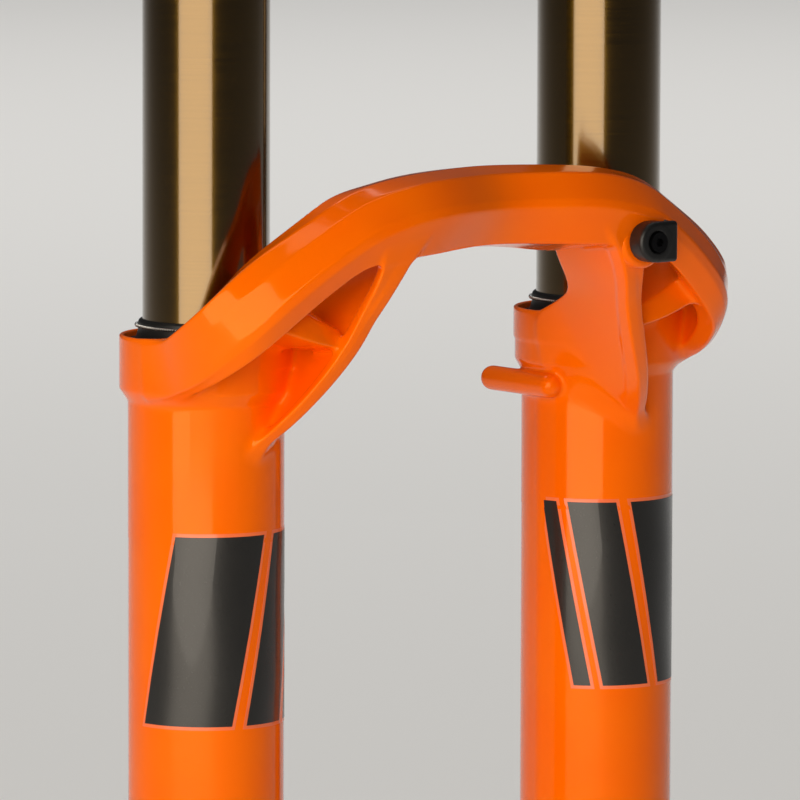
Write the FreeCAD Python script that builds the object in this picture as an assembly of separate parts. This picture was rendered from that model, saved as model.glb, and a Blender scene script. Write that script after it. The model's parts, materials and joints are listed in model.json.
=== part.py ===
import FreeCAD, Part
import math
import os

from FreeCAD import Vector

# A dual-crown suspension fork for a downhill bicycle, in millimetres.
# Origin: centre of the wheel axle. +Z runs up the legs, -Y is forwards, +X is the rider's left.

# ---------------------------------------------------------------- driving dimensions
LEG_X = 78.0             # half the distance between the two leg axes
LEG_Y = 18.0             # leg axes behind the wheel axle
STEERER_Y = 52.0         # steerer axis behind the wheel axle, the fork's offset
TRAVEL = 203.0           # stroke of the lower casting on the stanchions
COLLAR_TOP = 360.0       # top of the legs, where the seals sit
RACE_SEAT = 602.0        # axle to crown
STANCHION_R = 20.0
LEG_R = 24.5
COLLAR_R = 27.2
STEERER_R = 14.3
RACE_R = 15.0
STEERER_BASE_R = 15.4    # the stretch pressed into the lower crown
AXLE_R = 10.0
HUB_WIDTH = 110.0        # clear width between the dropouts

# lower casting
FOOT_Z = -36.0           # lowest point of the legs
FOOT_R = 19.0
FOOT_TAPER = 16.0
FOOT_CAVITY_R = 11.0
FOOT_CAVITY_TOP = -12.0
FLOOR_Z = 16.0           # floor of each leg's bore
BORE_R = 21.6            # bore for the slide bushings
FOAM_R = 25.0
FOAM_Z = (342.0, 349.5)
SEAL_R = 25.75
SEAL_Z = 350.0
TAPER_Z = (339.0, 343.0)
DROPOUT_R = 17.0
DROPOUT_X = 93.0         # outer face of the dropouts
AXLE_GAP = 0.03
AXLE_FLANGE_R = 13.0
EAR_FRONT = 31.0         # pinch ears reach this far ahead of the axle
EAR_HALF = 11.0
PINCH_X = (66.0, 84.0)
PINCH_Y = -23.0
SHAFT_R = 5.0
FOOT_BOLT_R = 4.0
BLEED_X = 25.5           # bleeder boss, inboard of the leg axis
BLEED_Z = COLLAR_TOP - 24.0
BLEED_Y = (10.6, 43.2)
BLEED_R = 4.0
RIB_X = 21.5             # rib below the boss, inboard of the leg axis
RIB_R = 3.2
POST_X = 58.0            # brake posts on the rider's left leg
POST_Y = 60.0
POST_Z = (62.0, 136.0)
POST_R = 9.0
BOLT_R = 3.0             # all M6 screws
HEAD_R = 5.0             # head of an M6 screw
HEAD_H = 5.5
KEY = 5.0                # across flats of its socket

# upper assembly
STANCHION_BOTTOM = 236.0
STANCHION_TOP = 779.0
STANCHION_BORE = 17.7
CLAMP_R = 28.0
LOWER_CLAMP = (573.0, 600.0)
LOWER_BRIDGE = 587.0     # underside of the lower crown between the clamps
UPPER_CLAMP = (742.0, 774.0)
UPPER_BRIDGE = 752.0
CLAMP_EAR_Y = 42.0       # clamp ears end this far behind the leg axis
CLAMP_BOLT_Y = 35.5
SLOT = 2.5               # gap that the clamp screws close
BRIDGE_R = 25.0          # crown's boss round the steerer
STEM_EAR = (14.0, 36.0)  # upper crown's ears behind the steerer: half width, reach
STEM_BOLT_Y = 29.0       # their screw, behind the steerer axis
STEERER_BORE_R = 12.0
STEM_HOLES = (25.0, 6.0, 32.0)   # half spacing across, front row, rear row
FRAME_BUMPER_Z = (640.0, 668.0)

CAP_PLUG = 16.0          # top caps reach this far into the stanchions
CAP_FACE = STANCHION_TOP + 4.5
FIT = 0.05               # clearance of a fitted piece

# inside the legs
SEAL_HEAD_Z = (STANCHION_BOTTOM + 1.5, STANCHION_BOTTOM + 20.0)
DAMPER_TUBE = (14.0, 16.0)
DAMPER_TUBE_Z = (SEAL_HEAD_Z[1] + FIT, STANCHION_TOP - CAP_PLUG - 0.1)
BUMPER_TOP = FLOOR_Z + 14.0
SPACER_HEIGHT = 15.0
VALVE_SEAT_Z = 598.0     # where the adjuster shaft enters the compression valve
FLOATING_LOW = 640.0     # underside of the floating piston at rest
PISTON_GAP = 0.3
ROD_TO_TUBE = (SHAFT_R / DAMPER_TUBE[0]) ** 2   # floating piston's share of the travel

UP = Vector(0, 0, 1)
LEFT = Vector(1, 0, 0)
BACK = Vector(0, 1, 0)

os.makedirs("parts", exist_ok=True)


# ---------------------------------------------------------------- helpers
def save(name, shape):
    """Write one sub-part to its own STEP file."""
    if shape.ShapeType == "Compound" and len(shape.Solids) == 1:
        shape = shape.Solids[0]
    shape.exportStep("parts/" + name + ".step")
    print(name, len(shape.Solids), round(shape.Volume / 1000.0, 2), "cm3", shape.isValid())


def rod(x, y, low, high, radius):
    """A vertical round bar."""
    return Part.makeCylinder(radius, high - low, Vector(x, y, low), UP)


def tube(x, y, low, high, outer, inner):
    """A vertical tube."""
    return rod(x, y, low, high, outer).cut(rod(x, y, low - 1, high + 1, inner))


def bar(start, direction, length, radius):
    """A round bar from a point, along a direction."""
    return Part.makeCylinder(radius, length, start, direction)


def block(low, high):
    """A box between two corners."""
    size = [b - a for a, b in zip(low, high)]
    return Part.makeBox(size[0], size[1], size[2], Vector(*low))


def turned(outline, x, y):
    """Turn an outline of (radius, height) points about the vertical line through x, y."""
    points = [Vector(x + r, y, z) for r, z in outline]
    face = Part.Face(Part.makePolygon(points + points[:1]))
    return face.revolve(Vector(x, y, 0), UP, 360)


def plate(outline, low, high):
    """Raise a flat outline of (x, y) points from one height to another."""
    points = [Vector(x, y, low) for x, y in outline]
    face = Part.Face(Part.makePolygon(points + points[:1]))
    return face.extrude(Vector(0, 0, high - low))


def side_plate(outline, low, high):
    """Push an outline of (y, z) points along X."""
    points = [Vector(low, y, z) for y, z in outline]
    face = Part.Face(Part.makePolygon(points + points[:1]))
    return face.extrude(Vector(high - low, 0, 0))


def mirrored(shape):
    """The same shape on the rider's right."""
    return shape.mirror(Vector(0, 0, 0), LEFT)


def on_side(shape, sign):
    """A shape made for the rider's left, put on the asked side."""
    return shape if sign > 0 else mirrored(shape)


def hex_bar(centre, direction, across, depth):
    """A six-sided bar for a key socket."""
    radius = across / math.sqrt(3)
    axis = Vector(direction)
    side = axis.cross(UP if abs(axis.z) < 0.5 else LEFT)
    side.normalize()
    other = axis.cross(side)
    points = []
    for step in range(6):
        turn = math.radians(60 * step)
        points.append(centre + side * (radius * math.cos(turn)) + other * (radius * math.sin(turn)))
    face = Part.Face(Part.makePolygon(points + points[:1]))
    return face.extrude(axis * depth)


def cap_screw(seat, direction, length, radius, head_r, head_h, across):
    """A socket screw: its head sits on seat, its shank runs along direction."""
    along = Vector(direction)
    head_top = seat - along * head_h
    screw = bar(seat - along * head_h, along, head_h, head_r)
    screw = screw.fuse(bar(seat - along * 0.5, along, length + 0.5, radius))
    socket = hex_bar(head_top, along, across, head_h * 0.6)
    return screw.cut(socket)


def ring_solid(rings):
    """Skin a row of closed rings, each with the same number of points, into one solid."""
    faces = []
    count = len(rings[0])
    for first, second in zip(rings[:-1], rings[1:]):
        for i in range(count):
            j = (i + 1) % count
            for corner in ((first[i], first[j], second[j]), (first[i], second[j], second[i])):
                faces.append(Part.Face(Part.makePolygon(list(corner) + [corner[0]])))
    for ring in (rings[0], rings[-1]):
        for i in range(1, count - 1):
            corner = (ring[0], ring[i], ring[i + 1])
            faces.append(Part.Face(Part.makePolygon(list(corner) + [corner[0]])))
    solid = Part.Solid(Part.Shell(faces))
    if solid.Volume < 0:
        solid.reverse()
    return solid


def at_leg(point):
    """A point given from the rider's left leg axis and collar top: outboard, back, up."""
    return Vector(LEG_X + point[0], LEG_Y + point[1], COLLAR_TOP + point[2])


# ---------------------------------------------------------------- lower casting
# The arch, seen as sections from the middle of the fork to the rider's left leg.
# Each row: outboard place, then (back, up) of rear top, front top, crease, rim foot, lower lip, rear.
BRIDGE = [
    (-78.0, (-34.0, 50.0), (-48.9, 49.6), (-53.9, 41.4), (-54.2, 39.0), (-47.0, 26.5), (-30.0, 30.0)),
    (-62.0, (-37.0, 50.2), (-53.5, 49.7), (-58.4, 41.5), (-58.8, 39.0), (-51.0, 26.0), (-31.0, 29.5)),
    (-50.0, (-41.0, 49.8), (-56.4, 49.4), (-61.0, 41.5), (-61.6, 38.8), (-55.0, 23.0), (-33.0, 27.0)),
    (-38.0, (-43.0, 48.5), (-56.2, 48.0), (-61.4, 40.0), (-61.9, 37.4), (-58.0, 20.0), (-35.0, 20.0)),
    (-27.0, (-44.0, 46.5), (-54.5, 45.5), (-60.0, 36.0), (-60.6, 33.5), (-55.0, 24.0), (-37.0, 24.0)),
]

# The band that runs from the arch's shoulder round the outside of the leg to its collar.
# Each row: top outside, top front, foot front, foot inside, top inside as (outboard, back, up).
BAND = [
    ((-30.0, -50.0, 47.0), (-31.0, -55.9, 46.9), (-28.0, -59.5, 33.5),
     (-27.0, -53.0, 32.5), (-28.0, -40.0, 45.0)),
    ((-15.7, -46.7, 43.3), (-16.0, -48.5, 42.0), (-11.6, -57.3, 25.1),
     (-10.6, -51.5, 24.1), (-14.0, -37.0, 41.5)),
    ((-1.1, -43.8, 34.4), (-1.1, -45.3, 33.0), (-1.3, -55.4, 17.8),
     (-1.0, -49.4, 17.0), (-1.1, -34.5, 33.0)),
    ((11.7, -40.7, 26.2), (11.9, -42.0, 24.8), (10.8, -50.7, 7.7),
     (8.5, -45.5, 7.2), (8.6, -32.0, 25.0)),
    ((22.1, -37.8, 17.3), (22.3, -38.5, 16.0), (16.5, -45.8, 1.2),
     (13.0, -41.0, 1.0), (16.0, -29.0, 15.5)),
    ((27.3, -33.2, 10.9), (27.0, -34.0, 9.5), (21.0, -36.4, -7.0),
     (16.5, -32.5, -7.0), (20.0, -25.0, 9.5)),
    ((27.2, -22.0, 3.5), (27.0, -23.0, 2.0), (23.5, -28.6, -13.6),
     (17.5, -24.5, -13.0), (19.5, -17.0, 2.5)),
    ((26.0, -9.0, -1.0), (26.5, -10.0, -2.0), (24.5, -14.0, -17.0),
     (16.0, -11.0, -17.0), (17.0, -7.0, -1.0)),
]

# The inner web below the arch, as level sections going down the leg.
# Each row: height, then (outboard, back) of front inner, front outer, rear outer, rear inner.
WEB = [
    (33.0, (-40.0, -60.0), (-28.0, -59.5), (-24.0, -34.0), (-36.0, -32.0)),
    (20.0, (-33.7, -56.5), (-25.1, -56.7), (-20.0, -22.0), (-32.5, -24.0)),
    (10.0, (-29.5, -52.4), (-23.0, -52.1), (-17.0, -18.0), (-30.0, -16.0)),
    (0.0, (-25.4, -48.5), (-19.5, -48.6), (-14.0, -16.0), (-27.0, -10.0)),
    (-10.0, (-19.6, -44.0), (-14.8, -44.5), (-10.0, -15.0), (-25.5, -8.0)),
    (-20.0, (-13.2, -38.4), (-8.5, -37.3), (-5.0, -12.0), (-23.0, -8.0)),
    (-30.0, (-6.0, -29.0), (-2.0, -28.0), (-1.0, -12.0), (-19.0, -9.0)),
    (-38.0, (-2.0, -23.5), (0.5, -23.5), (0.5, -15.0), (-12.0, -12.0)),
]

# The strut that crosses the pocket between web and band: four corners at each end.
STRUT = [
    ((-27.0, -47.0, 7.0), (-27.0, -44.0, 13.0), (-25.0, -28.0, 13.0), (-25.0, -28.0, 7.0)),
    ((8.0, -45.0, 11.5), (8.0, -44.0, 18.0), (6.0, -28.0, 16.0), (6.0, -28.0, 10.0)),
]

CROWN_CLEARANCE_R = 30.6     # nothing above the collar comes nearer the stanchion than this


def arch_half():
    """The left half of the arch, with its outer band, inner web and strut."""
    bridge = []
    for row in BRIDGE:
        bridge.append([at_leg((row[0], back, up)) for back, up in row[1:]])
    band = [[at_leg(point) for point in row] for row in BAND]
    web = []
    for row in WEB:
        web.append([at_leg((out, back, row[0])) for out, back in row[1:]])
    strut = [[at_leg(point) for point in row] for row in STRUT]
    half = ring_solid(bridge)
    for rings in (band, web, strut):
        half = half.fuse(ring_solid(rings))
    scoop = rod(LEG_X, LEG_Y, COLLAR_TOP, COLLAR_TOP + 80, CROWN_CLEARANCE_R)
    return half.cut(scoop)


def leg_outside():
    """One leg's outside with its collar, foot and dropout, on the rider's left."""
    outline = [
        (0, FOOT_Z),
        (FOOT_R, FOOT_Z),
        (LEG_R, FOOT_Z + FOOT_TAPER),
        (LEG_R, TAPER_Z[0]),
        (COLLAR_R, TAPER_Z[1]),
        (COLLAR_R, COLLAR_TOP),
        (0, COLLAR_TOP),
    ]
    leg = turned(outline, LEG_X, LEG_Y)
    hub_face = HUB_WIDTH / 2
    width = DROPOUT_X - hub_face
    boss = bar(Vector(hub_face, 0, 0), LEFT, width, DROPOUT_R)
    fairing = side_plate(
        [(-16.6, 4), (-6.2, 70), (LEG_Y, 70), (LEG_Y, -30), (-4, -28), (-16.6, -4)],
        LEG_X - 15,
        LEG_X + 15,
    )
    ears = block((hub_face, -EAR_FRONT, -EAR_HALF), (DROPOUT_X, 0, EAR_HALF))
    bleeder = bar(Vector(LEG_X - BLEED_X, BLEED_Y[0], BLEED_Z), BACK, BLEED_Y[1] - BLEED_Y[0], BLEED_R)
    bleeder = bleeder.fuse(Part.makeSphere(BLEED_R, Vector(LEG_X - BLEED_X, BLEED_Y[0], BLEED_Z)))
    rib = bar(Vector(LEG_X - RIB_X, LEG_Y, BLEED_Z - 40), UP, 40, RIB_R)
    return leg.multiFuse([boss, fairing, ears, bleeder, rib])


def leg_hollows():
    """Everything that is bored or cut out of one leg."""
    hub_face = HUB_WIDTH / 2
    cuts = [
        rod(LEG_X, LEG_Y, FLOOR_Z, COLLAR_TOP + 1, BORE_R),
        rod(LEG_X, LEG_Y, FOAM_Z[0], COLLAR_TOP + 1, FOAM_R),
        rod(LEG_X, LEG_Y, SEAL_Z, COLLAR_TOP + 1, SEAL_R + 0.02),
        rod(LEG_X, LEG_Y, FOOT_Z - 1, FOOT_CAVITY_TOP, FOOT_CAVITY_R),
        rod(LEG_X, LEG_Y, FOOT_CAVITY_TOP - 1, FLOOR_Z + 1, FOOT_BOLT_R + 0.3),
        bar(Vector(hub_face - 1, 0, 0), LEFT, 60, AXLE_R + AXLE_GAP),
        bar(Vector(hub_face - 20, 0, 0), LEFT, 20, 20.0),
        bar(Vector(DROPOUT_X, 0, 0), LEFT, 20, AXLE_FLANGE_R + 1.5),
        block((hub_face - 1, -EAR_FRONT - 1, -1), (DROPOUT_X + 1, 0, 1)),
        bar(Vector(LEG_X - BLEED_X, BLEED_Y[1] - 14, BLEED_Z), BACK, 15, 2.5),
    ]
    for x in PINCH_X:
        cuts.append(rod(x, PINCH_Y, -EAR_HALF - 1, EAR_HALF + 1, BOLT_R + 0.05))
    return cuts


def brake_posts():
    """Two bosses that a disc brake caliper bolts to, behind the rider's left leg."""
    parts = []
    for z in POST_Z:
        parts.append(bar(Vector(POST_X, LEG_Y, z), BACK, POST_Y - LEG_Y, POST_R))
        parts.append(block((POST_X - 6, LEG_Y, z - POST_R), (LEG_X, LEG_Y + 34, z + POST_R)))
    parts.append(block((POST_X - 2, LEG_Y, POST_Z[0]), (POST_X + 8, LEG_Y + 28, POST_Z[1])))
    return parts


GUIDE = (-27.1, -62.5, 26.7)     # centre of the hose guide, from the leg axis and collar top
GUIDE_SIZE = (15.0, 7.0, 13.0)
GUIDE_SCREW = -0.7               # screw and hose channel, outboard of the clip's centre
GUIDE_CHANNEL = (4.2, 0.7)
GUIDE_CHANNEL_R = 2.5
GUIDE_RECESS = 1.6               # depth of the seat for the screw's head
GUIDE_SEAT_GAP = 0.3             # the flat seat is cut this much larger than the clip
GUIDE_BOSS = (5.0, 14.0)         # boss behind the clip: radius, length


def lowers_casting():
    half = leg_outside().fuse(arch_half())
    body = half.fuse(mirrored(half))
    body = body.multiFuse(brake_posts())
    guide_x, guide_y, boss_z = at_leg(GUIDE)
    boss_x = guide_x + GUIDE_SCREW
    boss_y = guide_y + GUIDE_SIZE[1] / 2
    half_x = GUIDE_SIZE[0] / 2 + GUIDE_SEAT_GAP
    half_z = GUIDE_SIZE[2] / 2 + GUIDE_SEAT_GAP
    low = (guide_x - half_x, boss_y - 10, boss_z - half_z)
    seat = block(low, (guide_x + half_x, boss_y, boss_z + half_z))
    body = body.fuse(bar(Vector(boss_x, boss_y, boss_z), BACK, GUIDE_BOSS[1], GUIDE_BOSS[0]))
    body = body.cut(seat)
    for cut in leg_hollows():
        body = body.cut(cut).cut(mirrored(cut))
    for z in POST_Z:
        body = body.cut(bar(Vector(POST_X, POST_Y - 18, z), BACK, 19, BOLT_R))
    return body.cut(bar(Vector(boss_x, boss_y - 1, boss_z), BACK, 12, 2.0))


def wiper_seal(x):
    outline = [
        (20.25, SEAL_Z),
        (SEAL_R, SEAL_Z),
        (SEAL_R, COLLAR_TOP - 0.6),
        (24.6, COLLAR_TOP + 0.6),
        (22.6, COLLAR_TOP + 1.2),
        (21.4, COLLAR_TOP + 3.0),
        (21.4, COLLAR_TOP + 5.0),
        (22.0, COLLAR_TOP + 6.2),
        (20.5, COLLAR_TOP + 6.6),
        (20.25, COLLAR_TOP + 5.0),
    ]
    return turned(outline, x, LEG_Y)


def garter_spring(x):
    return Part.makeTorus(22.05, 0.6, Vector(x, LEG_Y, COLLAR_TOP + 4.0), UP)


def foam_ring(x):
    return tube(x, LEG_Y, FOAM_Z[0], FOAM_Z[1], FOAM_R - 0.1, STANCHION_R + 0.3)


def bushing(x, low):
    return tube(x, LEG_Y, low, low + 20, BORE_R - 0.03, STANCHION_R + 0.06)


def hose_guide():
    """A clip with one rounded end, a channel for the brake hose and a hole for its screw."""
    length, depth, height = GUIDE_SIZE
    x, y, z = at_leg(GUIDE)
    round_x = x - length / 2 + height / 2
    body = bar(Vector(round_x, y - depth / 2, z), BACK, depth, height / 2)
    high = (x + length / 2, y + depth / 2, z + height / 2)
    body = body.fuse(block((round_x, y - depth / 2, z - height / 2), high))
    channel_x = x + GUIDE_CHANNEL[0]
    body = body.cut(rod(channel_x, y + GUIDE_CHANNEL[1], z - height, z + height, GUIDE_CHANNEL_R))
    screw_x = x + GUIDE_SCREW
    body = body.cut(bar(Vector(screw_x, y - depth / 2 - 1, z), BACK, 1 + GUIDE_RECESS, 3.4))
    return body.cut(bar(Vector(screw_x, y - depth, z), BACK, depth * 2, 2.1))


def hose_guide_screw():
    x, y, z = at_leg(GUIDE)
    seat = Vector(x + GUIDE_SCREW, y - GUIDE_SIZE[1] / 2 + GUIDE_RECESS, z)
    return cap_screw(seat, BACK, 14, 1.95, 3.2, 2.4, 2.5)


def axle():
    """Hollow through axle with a flange on the rider's right."""
    body = bar(Vector(-DROPOUT_X, 0, 0), LEFT, 2 * DROPOUT_X, AXLE_R)
    body = body.fuse(bar(Vector(-DROPOUT_X - 4.3, 0, 0), LEFT, 4.0, AXLE_FLANGE_R))
    body = body.fuse(bar(Vector(-DROPOUT_X - 0.5, 0, 0), LEFT, 1.0, AXLE_R))
    body = body.cut(bar(Vector(-DROPOUT_X + 8, 0, 0), LEFT, 2 * DROPOUT_X, 7.5))
    return body.cut(hex_bar(Vector(-DROPOUT_X - 4.3, 0, 0), LEFT, 8.0, 20))


def axle_pinch_screws():
    screws = []
    for sign in (1, -1):
        for x in PINCH_X:
            seat = Vector(sign * x, PINCH_Y, EAR_HALF)
            screws.append(cap_screw(seat, -UP, 20, BOLT_R, HEAD_R, HEAD_H, KEY))
    return Part.makeCompound(screws)


def foot_bolt(x, hollow):
    seat = Vector(x, LEG_Y, FOOT_CAVITY_TOP - 1.5)
    bolt = cap_screw(seat, UP, 52, FOOT_BOLT_R - 0.05, 8.0, 7.0, 5.0)
    if hollow:
        bolt = bolt.cut(rod(x, LEG_Y, FOOT_Z, 80, 1.8))
    return bolt


def crush_washers():
    low = FOOT_CAVITY_TOP - 1.45
    inner = FOOT_BOLT_R + 0.2
    rings = [tube(sign * LEG_X, LEG_Y, low, FOOT_CAVITY_TOP, 9.0, inner) for sign in (1, -1)]
    return Part.makeCompound(rings)


def shaft(x, top):
    """A rod that stands on the leg's floor and is held by the foot bolt."""
    body = rod(x, LEG_Y, FLOOR_Z, top, SHAFT_R)
    body = body.fuse(rod(x, LEG_Y, FLOOR_Z, FLOOR_Z + 4, 9.0))
    return body.cut(rod(x, LEG_Y, FLOOR_Z - 1, FLOOR_Z + 26, FOOT_BOLT_R))


def stop_ring(x, low, high, outer, inner):
    """A rubber stop with a waist."""
    middle = (low + high) / 2
    outline = [
        (inner, low),
        (outer, low),
        (outer - 1.0, middle),
        (outer, high),
        (inner, high),
    ]
    return turned(outline, x, LEG_Y)


def piston(x, low, height, radius):
    """A piston on its shaft, with a groove for its sliding band."""
    outline = [
        (0, low),
        (radius, low),
        (radius, low + height * 0.3),
        (radius - 1.2, low + height * 0.32),
        (radius - 1.2, low + height * 0.68),
        (radius, low + height * 0.7),
        (radius, low + height),
        (0, low + height),
    ]
    return turned(outline, x, LEG_Y)


def seal_head(x):
    return tube(x, LEG_Y, SEAL_HEAD_Z[0], SEAL_HEAD_Z[1], STANCHION_BORE - 0.1, SHAFT_R + 0.25)


def retaining_rings():
    low = STANCHION_BOTTOM
    rings = [tube(sign * LEG_X, LEG_Y, low, low + 1.4, STANCHION_BORE - 0.1, 13.0) for sign in (1, -1)]
    return Part.makeCompound(rings)


def stanchion(x):
    return tube(x, LEG_Y, STANCHION_BOTTOM, STANCHION_TOP, STANCHION_R, STANCHION_BORE)


def crown(clamp, bridge_low, bridge_high, front):
    """A crown: a clamp round each stanchion, and a bridge to the steerer between them."""
    outline = [(-LEG_X, -9.0), (-44.0, front), (44.0, front), (LEG_X, -9.0)]
    outline += [(LEG_X, 43.0), (40.0, 66.0), (17.0, 76.0), (-17.0, 76.0), (-40.0, 66.0), (-LEG_X, 43.0)]
    body = plate(outline, bridge_low, bridge_high)
    for sign in (1, -1):
        body = body.fuse(rod(sign * LEG_X, LEG_Y, clamp[0], clamp[1], CLAMP_R))
        ears = block((LEG_X - 12, LEG_Y, clamp[0]), (LEG_X + 12, LEG_Y + CLAMP_EAR_Y, clamp[1]))
        body = body.fuse(on_side(ears, sign))
    body = body.fuse(rod(0, STEERER_Y, bridge_low, bridge_high, BRIDGE_R))
    for sign in (1, -1):
        body = body.cut(rod(sign * LEG_X, LEG_Y, clamp[0] - 1, clamp[1] + 9, STANCHION_R + 0.02))
        slot = block((LEG_X - SLOT / 2, LEG_Y, clamp[0] - 1), (LEG_X + SLOT / 2, LEG_Y + 60, clamp[1] + 9))
        body = body.cut(on_side(slot, sign))
    return body


def clamp_screws(heights):
    """Screws that close the clamps: they run across the slot behind each stanchion."""
    screws = []
    for sign in (1, -1):
        for z in heights:
            seat = Vector(sign * (LEG_X + 12), LEG_Y + CLAMP_BOLT_Y, z)
            screws.append(cap_screw(seat, Vector(-sign, 0, 0), 22, BOLT_R, HEAD_R, HEAD_H, KEY))
    return screws


def clamp_holes(body, heights):
    for sign in (1, -1):
        for z in heights:
            start = Vector(sign * (LEG_X + 30), LEG_Y + CLAMP_BOLT_Y, z)
            body = body.cut(bar(start, Vector(-sign, 0, 0), 43, BOLT_R + 0.05))
    return body


LOWER_SCREWS = (580.0, 593.0)
UPPER_SCREWS = (758.0,)
STEERER_SCREWS = (763.0,)


def lower_crown():
    body = crown(LOWER_CLAMP, LOWER_BRIDGE, RACE_SEAT - 2.0, 6.0)
    body = body.fuse(rod(0, STEERER_Y, LOWER_BRIDGE, RACE_SEAT, 22.0))
    body = body.cut(rod(0, STEERER_Y, LOWER_BRIDGE - 1, RACE_SEAT + 1, STEERER_BASE_R + 0.02))
    return clamp_holes(body, LOWER_SCREWS).removeSplitter()


def upper_crown():
    body = crown(UPPER_CLAMP, UPPER_BRIDGE, UPPER_CLAMP[1], -6.0)
    half_ear, reach = STEM_EAR
    ears = block((-half_ear, STEERER_Y, UPPER_BRIDGE), (half_ear, STEERER_Y + reach, UPPER_CLAMP[1]))
    body = body.fuse(ears)
    body = body.cut(rod(0, STEERER_Y, UPPER_BRIDGE - 1, UPPER_CLAMP[1] + 1, STEERER_R + 0.02))
    slot = block((-SLOT / 2, STEERER_Y, UPPER_BRIDGE - 1), (SLOT / 2, STEERER_Y + 60, UPPER_CLAMP[1] + 1))
    body = body.cut(slot)
    for z in STEERER_SCREWS:
        body = body.cut(bar(Vector(-20, STEERER_Y + STEM_BOLT_Y, z), LEFT, 40, BOLT_R + FIT))
    across, front, rear = STEM_HOLES
    for x in (-across, across):
        for y in (front, rear):
            body = body.cut(rod(x, y, UPPER_BRIDGE - 1, UPPER_CLAMP[1] + 1, BOLT_R))
    return clamp_holes(body, UPPER_SCREWS).removeSplitter()


def upper_crown_screws():
    screws = clamp_screws(UPPER_SCREWS)
    for z in STEERER_SCREWS:
        seat = Vector(STEM_EAR[0], STEERER_Y + STEM_BOLT_Y, z)
        screws.append(cap_screw(seat, -LEFT, 26, BOLT_R, HEAD_R, HEAD_H, KEY))
    return Part.makeCompound(screws)


def steerer_tube():
    body = rod(0, STEERER_Y, LOWER_BRIDGE, RACE_SEAT, STEERER_BASE_R)
    body = body.fuse(rod(0, STEERER_Y, RACE_SEAT, RACE_SEAT + 8, RACE_R))
    body = body.fuse(rod(0, STEERER_Y, RACE_SEAT + 8, UPPER_CLAMP[1] - 3, STEERER_R))
    return body.cut(rod(0, STEERER_Y, LOWER_BRIDGE - 1, UPPER_CLAMP[1], STEERER_BORE_R))


def star_nut():
    nut = rod(0, STEERER_Y, 744, 752, 5.0)
    for low in (745.0, 749.0):
        nut = nut.fuse(rod(0, STEERER_Y, low, low + 1.0, STEERER_BORE_R - 0.1))
    return nut.cut(rod(0, STEERER_Y, 740, 760, BOLT_R))


def preload_cap():
    top = UPPER_CLAMP[1]
    outline = [(3.2, top + 0.2), (18, top + 0.2), (18, top + 2.6), (15, top + 4.6), (3.2, top + 4.6)]
    cap = turned(outline, 0, STEERER_Y)
    return cap.fuse(tube(0, STEERER_Y, top - 2.6, top + 0.3, 11.5, 3.2))


def frame_bumper(x):
    low, high = FRAME_BUMPER_Z
    outline = [(STANCHION_R + 0.02, low), (24.0, low), (27.0, low + 6)]
    outline += [(27.0, high - 6), (24.0, high), (STANCHION_R + 0.02, high)]
    return turned(outline, x, LEG_Y)


def knurled(x, low, high, outer, inner, teeth, depth):
    """A grip ring with scallops round its rim."""
    body = tube(x, LEG_Y, low, high, outer, inner)
    for step in range(teeth):
        turn = 2 * math.pi * step / teeth
        centre_x = x + (outer + depth) * math.cos(turn)
        centre_y = LEG_Y + (outer + depth) * math.sin(turn)
        body = body.cut(rod(centre_x, centre_y, low - 1, high + 1, depth * 2))
    return body


def top_cap(x, stem_r, stem_top, bore):
    cap = rod(x, LEG_Y, STANCHION_TOP - CAP_PLUG, STANCHION_TOP, STANCHION_BORE - FIT)
    flange = [(0, STANCHION_TOP), (STANCHION_R, STANCHION_TOP), (STANCHION_R, STANCHION_TOP + 3)]
    flange += [(STANCHION_R - 1.5, CAP_FACE), (0, CAP_FACE)]
    cap = cap.fuse(turned(flange, x, LEG_Y))
    cap = cap.fuse(rod(x, LEG_Y, STANCHION_TOP, stem_top, stem_r))
    return cap.cut(rod(x, LEG_Y, STANCHION_TOP - CAP_PLUG - 4, stem_top + 1, bore))


def bleeder(x):
    """A bleeder valve's body and its push button, in the rear end of the boss on one leg."""
    seat = Vector(x - math.copysign(BLEED_X, x), BLEED_Y[1] - 10, BLEED_Z)
    valve = bar(seat, BACK, 9.4, 2.45).cut(bar(seat + BACK * 3, BACK, 10, 1.5))
    return valve, bar(seat + BACK * 4.5, BACK, 5.2, 1.42)


def air_valve_cap():
    grip = knurled(AIR, CAP_FACE + 0.5, CAP_FACE + 9, 6.0, 4.05, 12, 0.35)
    lid = rod(AIR, LEG_Y, CAP_FACE + 9.05, CAP_FACE + 11, 6.0)
    return grip.fuse(lid).fuse(tube(AIR, LEG_Y, CAP_FACE + 8, CAP_FACE + 9.1, 5.6, 4.05))


def volume_spacers():
    spacers = []
    for step in range(2):
        top = STANCHION_TOP - CAP_PLUG - 0.1 - SPACER_HEIGHT * step
        spacers.append(tube(AIR, LEG_Y, top - SPACER_HEIGHT + 0.1, top, 14.5, 5.0))
    return Part.makeCompound(spacers)


def compression_valve():
    body = piston(DAMPER, VALVE_SEAT_Z - 8, 18, DAMPER_TUBE[0] - FIT)
    return body.cut(rod(DAMPER, LEG_Y, VALVE_SEAT_Z, VALVE_SEAT_Z + 22, ADJUSTER_R + FIT))


def floating_piston():
    body = piston(DAMPER, FLOATING_LOW, 12, DAMPER_TUBE[0] - PISTON_GAP)
    return body.cut(rod(DAMPER, LEG_Y, FLOATING_LOW - 1, FLOATING_LOW + 20, ADJUSTER_R + PISTON_GAP))


def low_speed_knob():
    knob = knurled(DAMPER, CAP_FACE + 8.5, CAP_FACE + 15, 9.0, 1.0, 12, 0.5)
    knob = knob.fuse(rod(DAMPER, LEG_Y, CAP_FACE + 8.5, CAP_FACE + 14, 5.0))
    return knob.fuse(rod(DAMPER, LEG_Y, CAP_FACE + 3.4, CAP_FACE + 8.6, 6.0))


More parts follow.
